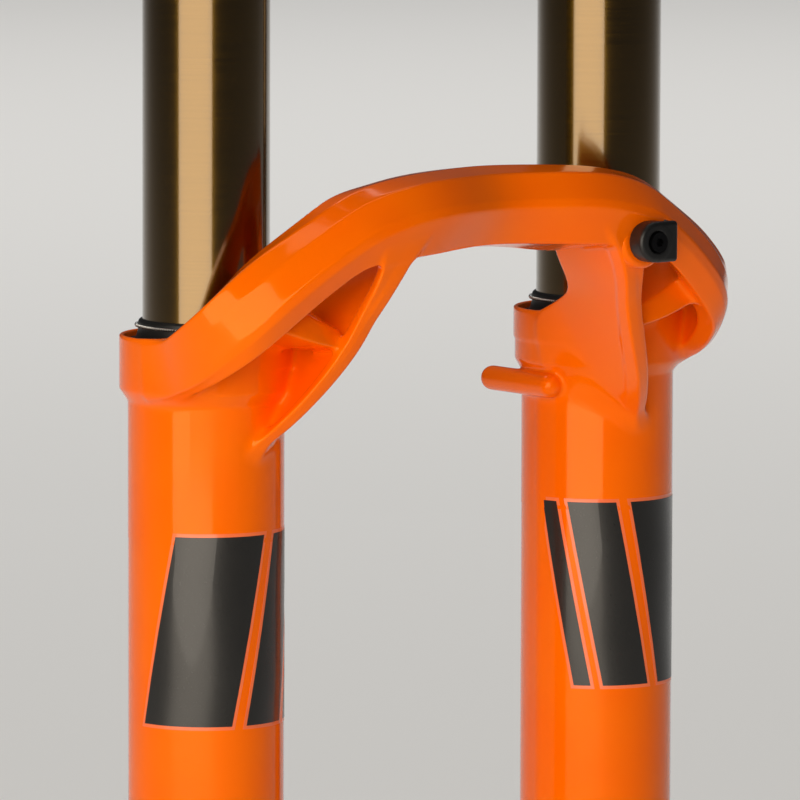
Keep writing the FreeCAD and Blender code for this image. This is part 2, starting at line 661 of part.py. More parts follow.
def rebound_knob():
    knob = knurled(DAMPER, FOOT_Z + 2, FOOT_CAVITY_TOP - 9.2, 8.5, 1.0, 10, 0.6)
    return knob.fuse(rod(DAMPER, LEG_Y, FOOT_Z + 3, FLOOR_Z + 20, 1.5))


AIR = LEG_X              # the air spring is in the rider's left leg
DAMPER = -LEG_X
ADJUSTER_R = 3.0

# ---------------------------------------------------------------- lower assembly
save("lowers_casting", lowers_casting())
for side, x in (("left", LEG_X), ("right", -LEG_X)):
    save("wiper_seal_" + side, wiper_seal(x))
    save("garter_spring_" + side, garter_spring(x))
    save("foam_ring_" + side, foam_ring(x))
    save("upper_bushing_" + side, bushing(x, FOAM_Z[0] - 22))
    save("lower_bushing_" + side, bushing(x, STANCHION_BOTTOM + 6))
    save("stanchion_" + side, stanchion(x))
    save("frame_bumper_" + side, frame_bumper(x))
    valve, button = bleeder(x)
    save("bleeder_valve_" + side, valve)
    save("bleeder_button_" + side, button)

save("hose_guide", hose_guide())
save("hose_guide_screw", hose_guide_screw())
save("axle", axle())
save("axle_pinch_screws", axle_pinch_screws())
save("crush_washers", crush_washers())

# ---------------------------------------------------------------- air side
air_top = SEAL_HEAD_Z[1] + 10.5
save("foot_bolt_left", foot_bolt(AIR, False))
save("air_shaft", shaft(AIR, air_top))
save("air_piston", piston(AIR, air_top, 16, STANCHION_BORE - PISTON_GAP))
save("air_bottom_bumper", stop_ring(AIR, FLOOR_Z + 4.1, BUMPER_TOP, 13, SHAFT_R + FIT))
save("air_top_out_bumper", stop_ring(AIR, SEAL_HEAD_Z[1], SEAL_HEAD_Z[1] + 10, 15, SHAFT_R + 0.5))
save("air_seal_head", seal_head(AIR))
save("air_top_cap", top_cap(AIR, 4.0, CAP_FACE + 9, 1.6))
save("air_valve_cap", air_valve_cap())
save("volume_spacers", volume_spacers())

# ---------------------------------------------------------------- damper side
rod_top = SEAL_HEAD_Z[1] + 36
save("foot_bolt_right", foot_bolt(DAMPER, True))
save("damper_rod", shaft(DAMPER, rod_top))
save("damper_piston", piston(DAMPER, rod_top, 14, DAMPER_TUBE[0] - PISTON_GAP))
save("damper_bottom_bumper", stop_ring(DAMPER, FLOOR_Z + 4.1, BUMPER_TOP, 13, SHAFT_R + FIT))
save("damper_seal_head", seal_head(DAMPER))
save("damper_tube", tube(DAMPER, LEG_Y, DAMPER_TUBE_Z[0], DAMPER_TUBE_Z[1], DAMPER_TUBE[1], DAMPER_TUBE[0]))
save("compression_valve", compression_valve())
save("floating_piston", floating_piston())
save("adjuster_shaft", rod(DAMPER, LEG_Y, VALVE_SEAT_Z + 0.1, CAP_FACE + 3.3, ADJUSTER_R))
save("damper_top_cap", top_cap(DAMPER, 8.0, CAP_FACE + 3, ADJUSTER_R + 0.1))
save("high_speed_knob", knurled(DAMPER, CAP_FACE + 0.4, CAP_FACE + 8, 15.0, 8.3, 8, 1.2))
save("low_speed_knob", low_speed_knob())
save("rebound_knob", rebound_knob())
save("retaining_rings", retaining_rings())

# ---------------------------------------------------------------- crowns and steerer
cap_top = Vector(0, STEERER_Y, UPPER_CLAMP[1] + 4.6)
save("lower_crown", lower_crown())
save("upper_crown", upper_crown())
save("lower_crown_screws", Part.makeCompound(clamp_screws(LOWER_SCREWS)))
save("upper_crown_screws", upper_crown_screws())
save("steerer_tube", steerer_tube())
save("star_nut", star_nut())
save("preload_cap", preload_cap())
save("preload_screw", cap_screw(cap_top, -UP, 32, BOLT_R - 0.02, HEAD_R, 3.0, KEY))

print("floating piston moves", round(TRAVEL * ROD_TO_TUBE, 2), "mm over the full travel")
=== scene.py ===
# %% [markdown]
# A long-travel bicycle fork with two crowns, made in short steps.
# The engineering model is already packed, with every part in its place and in metres.
# This lesson never moves those parts. It gives them finishes, and it swaps the cast, forged
# and turned ones for meshes with the soft edges and webs of the real castings.

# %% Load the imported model
import json
import math

import bmesh
import bpy
import numpy as np
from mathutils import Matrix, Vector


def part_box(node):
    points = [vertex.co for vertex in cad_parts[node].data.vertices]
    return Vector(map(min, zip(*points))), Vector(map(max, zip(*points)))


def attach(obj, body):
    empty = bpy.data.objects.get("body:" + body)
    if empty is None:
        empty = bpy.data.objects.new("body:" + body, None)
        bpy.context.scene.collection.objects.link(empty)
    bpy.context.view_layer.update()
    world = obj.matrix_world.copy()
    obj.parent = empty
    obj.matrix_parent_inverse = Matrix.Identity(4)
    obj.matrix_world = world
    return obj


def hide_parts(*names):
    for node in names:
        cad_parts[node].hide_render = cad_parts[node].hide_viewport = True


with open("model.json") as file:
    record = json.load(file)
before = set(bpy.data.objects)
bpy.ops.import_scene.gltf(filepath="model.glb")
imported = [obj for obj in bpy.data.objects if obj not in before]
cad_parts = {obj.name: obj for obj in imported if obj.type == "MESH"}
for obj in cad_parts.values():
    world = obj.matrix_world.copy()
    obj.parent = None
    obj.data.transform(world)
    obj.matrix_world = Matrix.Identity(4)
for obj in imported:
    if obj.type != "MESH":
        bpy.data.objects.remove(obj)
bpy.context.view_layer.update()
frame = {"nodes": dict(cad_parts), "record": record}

import openvdb as vdb
from mathutils import Vector

print("nodes:", len(frame["nodes"]))

# %% [markdown]
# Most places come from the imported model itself: a stanchion stands on each leg's axis, and a
# seal sits in the top of each leg. Their boxes give the main lines of the fork. The shapes
# below are in millimetres, from the rider's left leg axis and the top of its collar:
# outboard, back and up. One function turns them into the frame's own places.

# %% Main lines of the fork, in millimetres
MM = 0.001


def low_corner(node):
    """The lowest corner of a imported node's box, in millimetres."""
    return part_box(node)[0] / MM


def high_corner(node):
    """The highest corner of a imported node's box, in millimetres."""
    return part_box(node)[1] / MM


def centre(node):
    """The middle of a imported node's box, in millimetres."""
    return (low_corner(node) + high_corner(node)) / 2


LEG_X, LEG_Y = (round(value, 1) for value in centre("stanchion_left")[:2])
STANCHION_R = round(high_corner("stanchion_left").x - LEG_X, 1)
COLLAR_TOP = round(low_corner("wiper_seal_left").z + 10, 1)
FOOT_Z = round(low_corner("lowers_casting").z, 1)
LEG_R = 24.5
COLLAR_R = 27.2
print("leg axes", LEG_X, LEG_Y, "collar top", COLLAR_TOP, "foot", FOOT_Z)

# %% [markdown]
# A material here is a Principled shader with a little procedural detail in front of it. Every
# recipe is the same few moves, so one function adds a node, sets it and links it.

# %% Helpers for materials
def srgb(code):
    """A hex colour as the linear values that shaders use."""
    parts = [int(code[i:i + 2], 16) / 255 for i in (1, 3, 5)]
    return [p / 12.92 if p <= 0.04045 else ((p + 0.055) / 1.055) ** 2.4 for p in parts] + [1.0]


def add(tree, kind, inputs=None, **settings):
    """Add a node, set it, and fill its inputs with values or with another node's output."""
    node = tree.nodes.new(kind)
    for name, value in settings.items():
        setattr(node, name, value)
    for name, value in (inputs or {}).items():
        socket = node.inputs[name]
        if isinstance(value, bpy.types.NodeSocket):
            tree.links.new(value, socket)
        else:
            socket.default_value = value
    return node


def finish(name, base, **numbers):
    """A new material with a plain Principled shader. Returns it, its nodes, shader and places."""
    made = bpy.data.materials.new(name)
    made.use_nodes = True
    tree = made.node_tree
    tree.nodes.clear()
    shader = add(tree, "ShaderNodeBsdfPrincipled", {"Base Color": srgb(base)})
    for socket, value in numbers.items():
        shader.inputs[socket.replace("_", " ")].default_value = value
    add(tree, "ShaderNodeOutputMaterial", {"Surface": shader.outputs[0]})
    place = add(tree, "ShaderNodeTexCoord").outputs["Object"]
    return made, tree, shader, place


FINISHES = {}

# %% [markdown]
# The lower legs are a magnesium casting under a solid orange powder base and a clear coat. The
# coat gives crisp reflections; the base below scatters light softly. A cast part is never quite
# flat, so a faint swell of a few millimetres bends the reflections, and the coat adds a fine
# orange peel of under a millimetre.

# %% Orange lacquer on magnesium
def orange_lacquer():
    made, tree, shader, place = finish(
        "orange_lacquer_on_magnesium", "#FF6C00",
        Roughness=0.14, Specular_IOR_Level=0.7, Specular_Tint=srgb("#FFA23C"),
        Coat_Weight=0.22, Coat_Roughness=0.06, Coat_IOR=1.4,
    )
    swell = add(tree, "ShaderNodeTexNoise", {"Vector": place, "Scale": 1 / (22 * MM), "Detail": 1.0})
    peel = add(tree, "ShaderNodeTexNoise", {"Vector": place, "Scale": 1 / (0.9 * MM), "Detail": 2.0})
    slow = add(tree, "ShaderNodeBump", {
        "Height": swell.outputs["Fac"], "Strength": 0.02, "Distance": 0.3 * MM,
    })
    fine = add(tree, "ShaderNodeBump", {
        "Height": peel.outputs["Fac"], "Strength": 0.04, "Distance": 0.05 * MM,
        "Normal": slow.outputs[0],
    })
    tree.links.new(fine.outputs[0], shader.inputs["Normal"])
    tree.links.new(slow.outputs[0], shader.inputs["Coat Normal"])
    share = add(tree, "ShaderNodeMapRange", {
        "Value": swell.outputs["Fac"], "From Min": 0.35, "From Max": 0.65,
    })
    pigment = add(tree, "ShaderNodeMix", {
        "Factor": share.outputs[0], "A": srgb("#FF6A00"), "B": srgb("#FF6E00"),
    }, data_type="RGBA")
    tree.links.new(pigment.outputs["Result"], shader.inputs["Base Color"])
    return made


FINISHES["orange_paint"] = orange_lacquer()
print("first finish:", FINISHES["orange_paint"].name)

# %% [markdown]
# The stanchions are ground aluminium with a hard, gold-brown anodic coating. The grinding wheel
# leaves rings about 0.1 mm apart round the tube. They are drawn at 0.5 mm, so that they show.

# %% Gold hard-anodised tube
def gold_anodised():
    made, tree, shader, place = finish(
        "gold_hard_anodised_aluminium", "#624910",
        Metallic=1.0, Roughness=0.2, Anisotropic=0.3, Coat_Weight=1.0, Coat_Roughness=0.1, Coat_IOR=1.65,
    )
    rings = add(tree, "ShaderNodeMapping", {"Vector": place, "Scale": (20, 20, 1 / (0.5 * MM))})
    wheel = add(tree, "ShaderNodeTexNoise", {"Vector": rings.outputs[0], "Scale": 1.0, "Detail": 3.0})
    bath = add(tree, "ShaderNodeTexNoise", {"Vector": place, "Scale": 1 / (60 * MM), "Detail": 2.0})
    tint = add(tree, "ShaderNodeMix", {
        "Factor": bath.outputs["Fac"], "A": srgb("#5E450F"), "B": srgb("#694E12"),
    }, data_type="RGBA")
    tree.links.new(tint.outputs["Result"], shader.inputs["Base Color"])
    spread = add(tree, "ShaderNodeMapRange", {
        "Value": wheel.outputs["Fac"], "From Min": 0.3, "From Max": 0.7, "To Min": 0.16, "To Max": 0.24,
    })
    tree.links.new(spread.outputs[0], shader.inputs["Roughness"])
    bump = add(tree, "ShaderNodeBump", {
        "Height": wheel.outputs["Fac"], "Strength": 0.05, "Distance": 0.02 * MM,
    })
    tree.links.new(bump.outputs[0], shader.inputs["Normal"])
    return made


FINISHES["gold_anodised"] = gold_anodised()

# %% [markdown]
# The remaining finishes differ in three things: the colour, how metallic and rough they are,
# and the grain of the surface. The grain is a noise of a real size, stretched round the part
# for turned metal, and it moves both the roughness and a small bump.

# %% Grained finishes
def grained(name, base, worn, grain, stretch=(1, 1, 1), swing=0.06, bump=0.15, **numbers):
    """A finish with a grain of the given size in millimetres."""
    made, tree, shader, place = finish(name, base, **numbers)
    rough = numbers["Roughness"]
    lay = add(tree, "ShaderNodeMapping", {"Vector": place, "Scale": stretch})
    noise = add(tree, "ShaderNodeTexNoise", {
        "Vector": lay.outputs[0], "Scale": 1 / (grain * MM), "Detail": 3.0,
    })
    patch = add(tree, "ShaderNodeTexNoise", {"Vector": place, "Scale": 1 / (12 * MM), "Detail": 2.0})
    share = add(tree, "ShaderNodeMapRange", {
        "Value": patch.outputs["Fac"], "From Min": 0.3, "From Max": 0.7,
    })
    tint = add(tree, "ShaderNodeMix", {
        "Factor": share.outputs[0], "A": srgb(base), "B": srgb(worn),
    }, data_type="RGBA")
    tree.links.new(tint.outputs["Result"], shader.inputs["Base Color"])
    spread = add(tree, "ShaderNodeMapRange", {
        "Value": noise.outputs["Fac"], "From Min": 0.3, "From Max": 0.7,
        "To Min": max(rough - swing, 0.02), "To Max": rough + swing,
    })
    tree.links.new(spread.outputs[0], shader.inputs["Roughness"])
    height = add(tree, "ShaderNodeBump", {
        "Height": noise.outputs["Fac"], "Strength": bump, "Distance": 0.05 * MM,
    })
    tree.links.new(height.outputs[0], shader.inputs["Normal"])
    return made


TURNED = (1, 1, 12)
FINISHES.update({
    # Nitrile rubber from a polished mould: deep black, a soft sheen, hardly any grain.
    "seal_rubber": grained("nitrile_rubber", "#0B0B0B", "#121211", 0.8, Roughness=0.42),
    # Thicker moulded rubber, sparked mould, so more matt.
    "bumper_rubber": grained("moulded_rubber", "#101010", "#171716", 0.5, bump=0.4, Roughness=0.62),
    # Drawn spring wire, bright, with lines along the wire.
    "spring_steel": grained("spring_steel", "#C9C9C7", "#DADAD8", 0.3, Metallic=1.0, Roughness=0.24),
    # Open-cell foam soaked with oil: dark grey, porous.
    "oil_foam": grained("oiled_foam", "#4A4A46", "#34342F", 0.7, bump=1.0, Roughness=0.7),
    # Bronze-filled sliding layer on a steel backing.
    "bushing_coating": grained(
        "sliding_bush_layer", "#6A625A", "#7A7066", 0.3, Roughness=0.45, Metallic=0.5),
    # Nylon with glass fibre, from a grained mould.
    "black_plastic": grained("glass_filled_nylon", "#0D0D0E", "#141415", 0.35, bump=0.4, Roughness=0.4),
    # Black-oxide steel screws, oiled.
    "black_screw": grained("black_oxide_steel", "#1B1B1D", "#262629", 0.2, Roughness=0.32, Metallic=0.9),
    # Forged aluminium, bead-blasted and anodised black: a fine even matt with a metal sheen.
    "black_anodised": grained(
        "blasted_black_anodised_aluminium", "#141416", "#19191C", 0.25, bump=0.3,
        Roughness=0.46, Metallic=0.6),
    # Turned aluminium, with the tool's lines round it.
    "bare_aluminium": grained(
        "turned_aluminium", "#B9BBBE", "#C6C8CA", 2.4, TURNED, Roughness=0.28, Metallic=1.0),
    # Steel rod, ground and hard-chrome plated: almost a mirror.
    "hard_chrome": grained(
        "hard_chrome", "#CFD0D2", "#D8D9DA", 2.0, TURNED, 0.02, 0.03, Roughness=0.06, Metallic=1.0),
    # Turned aluminium knobs, anodised and dyed: a satin metal under a clear colour.
    "dial_blue": grained(
        "blue_anodised_aluminium", "#12399A", "#1843A8", 1.5, TURNED, Roughness=0.26, Metallic=0.9),
    "dial_red": grained(
        "red_anodised_aluminium", "#A30F14", "#B0161A", 1.5, TURNED, Roughness=0.26, Metallic=0.9),
    # Turned brass, for the small valves that let air out of the legs.
    "brass": grained("turned_brass", "#B08A3C", "#BC9648", 1.5, TURNED, Roughness=0.25, Metallic=1.0),
    # Cast vinyl film with a thin satin laminate: the black of the bars, and under it the coral
    # that shows round their edge.
    "film_black": grained(
        "black_vinyl_film", "#100F0E", "#151413", 0.6, bump=0.1, Roughness=0.33, Coat_Weight=0.4),
    "film_edge": grained(
        "coral_vinyl_film", "#F8703A", "#FA763F", 0.6, bump=0.1, Roughness=0.35, Coat_Weight=0.5),
})
print("finishes:", sorted(FINISHES))

# %% [markdown]
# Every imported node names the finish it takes, so the new materials go on all of them at once.

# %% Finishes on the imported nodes
SLOTS = {row["node"]: row["material_slot"] for row in frame["record"]["subparts"]}
BODIES = {}
for body, nodes in frame["record"]["behaviour"]["bodies"].items():
    BODIES.update({node: body for node in nodes})
for name, node in frame["nodes"].items():
    for place in node.material_slots:
        place.material = FINISHES[SLOTS[name]]


def settle(piece, *nodes, finish_name=None):
    """Give a piece its finish, and the body of the nodes it stands for."""
    slot = finish_name or SLOTS[nodes[0]]
    piece.data.materials.clear()
    piece.data.materials.append(FINISHES[slot])
    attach(piece, BODIES[nodes[0]])
    return piece


# %% [markdown]
# Castings have no sharp inside corners: metal flows, and every web grows out of the leg with a
# fillet. Modelling those fillets edge by edge is slow. Instead the casting is described as a
# field of distances: a number at every point of space, negative inside the metal. Two fields
# join with a soft minimum, which makes the fillet by itself, and the skin is where the field
# is zero. OpenVDB, which comes with Blender, turns the field into a mesh.

# %% Distance fields
class Block:
    """A block of space, sampled every step millimetres from its low corner."""

    def __init__(self, low, high, step):
        self.low = np.array(low, np.float64)
        self.step = step
        self.counts = np.ceil((np.array(high) - self.low) / step).astype(int) + 1
        axes = [self.low[i] + step * np.arange(self.counts[i]) for i in range(3)]
        self.at = np.meshgrid(*[axis.astype(np.float32) for axis in axes], indexing="ij", sparse=True)


def join(a, b, fillet):
    """Both shapes, with a fillet where they meet."""
    share = np.clip(0.5 + 0.5 * (b - a) / fillet, 0, 1)
    return b + (a - b) * share - fillet * share * (1 - share)


def overlap(a, b, fillet):
    """Only what both shapes share, with its edges rounded."""
    return -join(-a, -b, fillet)


def carve(a, b, fillet):
    """The first shape without the second, with its edges rounded."""
    return overlap(a, -b, fillet)


def upright(at, x, y, radius):
    """An endless upright round bar."""
    return np.hypot(at[0] - x, at[1] - y) - radius + 0 * at[2]


def post(at, x, y, low, high, radius, edge=0.5):
    """An upright round post."""
    ends = np.abs(at[2] - (low + high) / 2) - (high - low) / 2
    return overlap(upright(at, x, y, radius), ends, edge)


def bar(at, start, end, radius):
    """A round bar with round ends."""
    start = np.array(start, np.float32)
    run = np.array(end, np.float32) - start
    along = sum((at[i] - start[i]) * run[i] for i in range(3)) / float(run @ run)
    along = np.clip(along, 0, 1)
    return np.sqrt(sum((at[i] - start[i] - along * run[i]) ** 2 for i in range(3))) - radius


def slab(at, low, high, edge):
    """A box with rounded edges."""
    gaps = [np.abs(at[i] - (low[i] + high[i]) / 2) - (high[i] - low[i]) / 2 + edge for i in range(3)]
    outside = np.sqrt(sum(np.maximum(gap, 0) ** 2 for gap in gaps))
    return outside + np.minimum(np.maximum(np.maximum(gaps[0], gaps[1]), gaps[2]), 0) - edge


def soften(field, times):
    """Blur a field a little, which rounds all its edges."""
    for _ in range(times):
        for axis in range(3):
            wide = np.pad(field, [(int(a == axis),) * 2 for a in range(3)], mode="edge")
            before, after = [slice(None)] * 3, [slice(None)] * 3
            before[axis], after[axis] = slice(0, -2), slice(2, None)
            field = (wide[tuple(before)] + 2 * field + wide[tuple(after)]) / 4
    return field


# %% [markdown]
# The arch and its webs are lofts: one ring of points, moved and reshaped along the part. The
# rings between the given ones lie on smooth curves through them (Catmull-Rom), so a dozen
# listed rings are enough. OpenVDB measures the distance to the closed loft.

# %% Lofts
RINGS_BETWEEN = 8
EVENING = 28                 # how often each ring is averaged with its neighbours
BAND_REACH = 9               # how many samples either side of a loft know their distance


def smooth_rings(rings):
    """More rings, on smooth curves through the given ones, with small waves evened out."""
    rings = np.array(rings, np.float64)
    padded = np.concatenate([2 * rings[:1] - rings[1:2], rings, 2 * rings[-1:] - rings[-2:-1]])
    result = []
    for i in range(len(rings) - 1):
        a, b, c, d = padded[i:i + 4]
        for t in np.arange(RINGS_BETWEEN) / RINGS_BETWEEN:
            bend = (2 * a - 5 * b + 4 * c - d) * t ** 2 + (3 * b - a - 3 * c + d) * t ** 3
            result.append((2 * b + (c - a) * t + bend) / 2)
    result = np.array(result + [rings[-1]])
    for _ in range(EVENING):
        result[1:-1] = (result[:-2] + 2 * result[1:-1] + result[2:]) / 4
    return result


def loft(block, rings):
    """The distance field of a closed loft."""
    rings = smooth_rings(rings)
    rows, around = rings.shape[:2]
    points = (rings.reshape(-1, 3) - block.low).astype(np.float32)
    triangles = []
    for r in range(rows - 1):
        for i in range(around):
            j = (i + 1) % around
            a, b, c, d = r * around + i, r * around + j, (r + 1) * around + j, (r + 1) * around + i
            triangles += [(a, b, c), (a, c, d)]
    last = (rows - 1) * around
    triangles += [(0, i + 1, i) for i in range(1, around - 1)]
    triangles += [(last, last + i, last + i + 1) for i in range(1, around - 1)]
    grid = vdb.FloatGrid.createLevelSetFromPolygons(
        points,
        triangles=np.array(triangles, np.uint32),
        transform=vdb.createLinearTransform(voxelSize=block.step),
        halfWidth=BAND_REACH,
    )
    field = np.zeros(block.counts, np.float32)
    grid.copyToArray(field)
    return field


# %% [markdown]
# The skin comes out of the field as small quads. Collapsing the flattest edges keeps the shape
# with a third of the faces. The field's own slope then gives every point its exact normal, so
# the lacquer's reflections stay smooth on a light mesh.

# %% From a field to a mesh
def slopes_at(block, field, points):
    """The field's slope at each point."""
    grown = np.gradient(field)
    place = (points - block.low) / block.step
    base = np.clip(np.floor(place).astype(int), 0, block.counts - 2)
    part = np.clip(place - base, 0, 1)
    total = np.zeros((len(points), 3))
    for corner in range(8):
        shift = np.array([corner & 1, corner >> 1 & 1, corner >> 2 & 1])
        weight = np.prod(np.where(shift, part, 1 - part), axis=1)
        i, j, k = (base + shift).T
        for axis in range(3):
            total[:, axis] += weight * grown[axis][i, j, k]
    return total / np.maximum(np.linalg.norm(total, axis=1)[:, None], 1e-9)


def baked(piece):
    """Turn a piece's modifiers into plain mesh."""
    graph = bpy.context.evaluated_depsgraph_get()
    mesh = bpy.data.meshes.new_from_object(piece.evaluated_get(graph))
    piece.modifiers.clear()
    piece.data = mesh
    return piece


def new_piece(name, points, faces):
    """A mesh object from points in millimetres."""
    mesh = bpy.data.meshes.new(name)
    mesh.from_pydata((np.array(points) * MM).tolist(), [], faces)
    mesh.validate()
    mesh.shade_smooth()
    piece = bpy.data.objects.new(name, mesh)
    bpy.context.scene.collection.objects.link(piece)
    return piece


def edited(piece, edit):
    """Run an edit on a piece's mesh through bmesh."""
    work = bmesh.new()
    work.from_mesh(piece.data)
    edit(work)
    work.to_mesh(piece.data)
    work.free()


def faces_out(work):
    bmesh.ops.recalc_face_normals(work, faces=work.faces)


def cut_at(work, place, outward, closed=True):
    """Cut a mesh on a plane through a place, drop its outward side, and close the cut."""
    cut = bmesh.ops.bisect_plane(
        work, geom=work.verts[:] + work.edges[:] + work.faces[:],
        plane_co=place, plane_no=outward, clear_outer=True)
    if closed:
        rim = [e for e in cut["geom_cut"] if isinstance(e, bmesh.types.BMEdge)]
        bmesh.ops.triangle_fill(work, edges=rim, use_beauty=True)


def skin(name, block, field, triangles, both_sides=False, above=None, below=None):
    """A mesh object on the field's zero, thinned to about the asked number of triangles."""
    field = np.array(field, np.float32)
    for axis in range(3):
        ends = [slice(None)] * 3
        for end in (0, -1):
            if both_sides and axis == 0 and end == 0:
                continue
            ends[axis] = end
            field[tuple(ends)] = np.maximum(field[tuple(ends)], block.step / 2)
    grid = vdb.FloatGrid(9.0)
    grid.copyFromArray(np.ascontiguousarray(field, np.float32))
    grid.transform = vdb.createLinearTransform(voxelSize=block.step)
    points, threes, fours = grid.convertToPolygons(isovalue=0.0, adaptivity=0.0)
    faces = [tuple(f) for f in fours.tolist()] + [tuple(f) for f in threes.tolist()]
    piece = new_piece(name, points + block.low, faces)
    if both_sides:
        edited(piece, lambda work: cut_at(work, (0, 0, 0), (-1, 0, 0), closed=False))
        mirror = piece.modifiers.new("other side", "MIRROR")
        mirror.merge_threshold = 0.02 * MM
    now = (len(fours) * 2 + len(threes)) * (2 if both_sides else 1)
    if triangles < now:
        thin = piece.modifiers.new("thin", "DECIMATE")
        thin.ratio = triangles / now
    baked(piece)
    if above is not None:
        edited(piece, lambda work: cut_at(work, (0, 0, above * MM), (0, 0, -1)))
    if below is not None:
        edited(piece, lambda work: cut_at(work, (0, 0, below * MM), (0, 0, 1)))
    edited(piece, faces_out)
    places = np.empty(len(piece.data.vertices) * 3)
    piece.data.vertices.foreach_get("co", places)
    places = places.reshape(-1, 3) / MM
    flip = np.where(places[:, 0] < 0, -1.0, 1.0) if both_sides else np.ones(len(places))
    places[:, 0] *= flip
    normals = slopes_at(block, field, places)
    normals[:, 0] *= flip
    piece.data.shade_smooth()
    piece.data.normals_split_custom_set_from_vertices(normals.tolist())
    print(name, len(piece.data.polygons), "faces from", now)
    return piece


# %% [markdown]
# The arch ties the two legs together in front of the tyre. In the middle it has a flat top, a
# front face that leans forwards, a thin rim and an arched underside. Its sections are given
# from the middle of the fork to the shoulder, each as eight points of (back, up).

# %% Sections of the arch
# Each row: outboard place, then (back, up) of rear top, ridge, crease, rim line, rim, lower
# edge, rear edge and rear face.
ARCH = [
    (-78.0, (-30, 50.5), (-39.5, 51.8), (-48.9, 49.6), (-53.9, 41.4),
     (-54.2, 39.0), (-46.5, 27.5), (-34.0, 25.8), (-28.5, 38)),
    (-62.0, (-33, 50.3), (-43.0, 51.5), (-53.2, 49.7), (-58.3, 41.5),
     (-58.7, 39.0), (-50.5, 27.0), (-34.5, 24.6), (-30.5, 38)),
    (-50.0, (-36, 49.8), (-45.8, 51.1), (-56.0, 49.4), (-60.9, 41.4),
     (-61.4, 38.8), (-55.0, 26.5), (-37.0, 22.6), (-33.0, 38)),
    (-40.0, (-38, 48.8), (-46.9, 50.2), (-56.4, 48.4), (-61.5, 40.2),
     (-62.0, 37.6), (-57.0, 26.0), (-42.0, 24.0), (-36.0, 38)),
    (-31.5, (-39, 47.3), (-47.0, 48.8), (-55.8, 46.6), (-61.2, 38.2),
     (-61.7, 35.6), (-57.5, 25.5), (-48.0, 27.0), (-40.0, 38)),
]
# A row past the middle, the mirror image of the next one, keeps the curve level in the middle.
ARCH.insert(0, (-94.0, *ARCH[1][1:]))

# The band that runs on from the shoulder, outside the leg, down to its collar.
# Each row: a point of the ridge on top, the rim below it, how far the crease stands out, and
# how far the lower edge hangs below the rim.
BAND = [
    ((-23.5, -46.9, 46.9), (-22.0, -60.3, 31.8), 3.2, 8.5),
    ((-15.7, -46.7, 43.3), (-14.0, -58.4, 26.6), 2.9, 8.5),
    ((-8.4, -45.3, 38.7), (-6.4, -56.7, 21.6), 2.7, 8.5),
    ((3.8, -42.9, 31.4), (4.7, -53.1, 12.7), 2.4, 8.5),
    ((11.7, -40.7, 26.2), (10.8, -50.4, 7.0), 2.0, 8.0),
    ((22.1, -37.8, 17.3), (16.6, -45.8, 0.8), 1.2, 7.0),
    ((27.0, -33.2, 10.9), (21.0, -36.4, -7.0), 0.6, 5.0),
    ((28.2, -22.5, 4.0), (24.8, -24.8, -14.2), 0.2, 2.5),
    ((26.4, -11.0, -1.0), (24.6, -13.5, -17.2), 0.0, 1.0),
    ((25.5, -4.0, -2.0), (25.6, -5.0, -17.8), 0.0, 0.5),
]
CREASE_SHARE = 0.36          # how far down from the ridge to the rim the crease lies
RIM_LINE = (0.87, 0.85)       # the same for the rim line, and its share of the crease's height
BAND_WALL = (8.0, 4.2)       # thickness at the ridge and at the lower edge


def on_leg(point):
    """A point given from the leg axis and collar top, in the frame's millimetres."""
    return (LEG_X + point[0], LEG_Y + point[1], COLLAR_TOP + point[2])


def arch_rings():
    """Eight-point rings from beyond the middle of the fork to the collar, in one run."""
    rings = [[on_leg((row[0], back, up)) for back, up in row[1:]] for row in ARCH]
    ridges = np.array([row[0] for row in BAND])
    rims = np.array([row[1] for row in BAND])
    travel = np.gradient((ridges + rims) / 2, axis=0)
    for ridge, rim, ahead, (_, _, height, hang) in zip(ridges, rims, travel, BAND):
        down = rim - ridge
        outward = np.cross(down, ahead)
        outward /= np.linalg.norm(outward)
        inward = -np.array([ridge[0], ridge[1], 0]) / np.hypot(ridge[0], ridge[1])
        under = -np.array([rim[0], rim[1], 0]) / np.hypot(rim[0], rim[1])
        crease = ridge + down * CREASE_SHARE + outward * height
        line = ridge + down * RIM_LINE[0] + outward * height * RIM_LINE[1]
        edge = rim + under * BAND_WALL[1] - np.array([0, 0, hang])
        rear = rim + under * (BAND_WALL[1] + 6.5) - np.array([0, 0, hang * 0.75])
        top = ridge + inward * BAND_WALL[0] - np.array([0, 0, 1.5])
        rings.append([on_leg(p) for p in (top, ridge, crease, line, rim, edge, rear, (rear + top) / 2)])
    return rings


# The inner web below the shoulder: heights, then (outboard, back) of its front edge, inner
# side first, and of its rear edge. The web is a plate, with a flange along its front.
WEB = [
    (34.0, (-43.0, -57.5), (-28.0, -57.0), (-44.0, -33.0)),
    (26.0, (-37.6, -57.8), (-27.0, -58.0), (-43.0, -30.0)),
    (18.0, (-33.0, -56.0), (-25.0, -56.3), (-37.0, -26.5)),
    (11.6, (-30.2, -53.4), (-23.4, -52.9), (-31.5, -23.5)),
    (7.0, (-28.2, -50.8), (-22.0, -51.0), (-28.6, -20.0)),
    (3.0, (-26.6, -49.3), (-20.6, -49.5), (-27.4, -10.0)),
    (-3.0, (-24.0, -47.3), (-18.0, -47.4), (-26.4, -3.0)),
    (-12.0, (-18.7, -43.1), (-13.0, -43.0), (-25.8, -5.0)),
    (-20.5, (-12.9, -38.0), (-8.0, -37.2), (-23.4, -6.0)),
    (-27.5, (-8.4, -32.3), (-3.6, -31.0), (-20.2, -8.0)),
    (-32.0, (-5.0, -27.3), (-1.4, -26.6), (-15.0, -10.0)),
    (-36.0, (-3.0, -23.8), (-1.0, -23.6), (-11.0, -12.0)),
]
WEB_PLATE = 3.4
WEB_FLANGE = 4.2


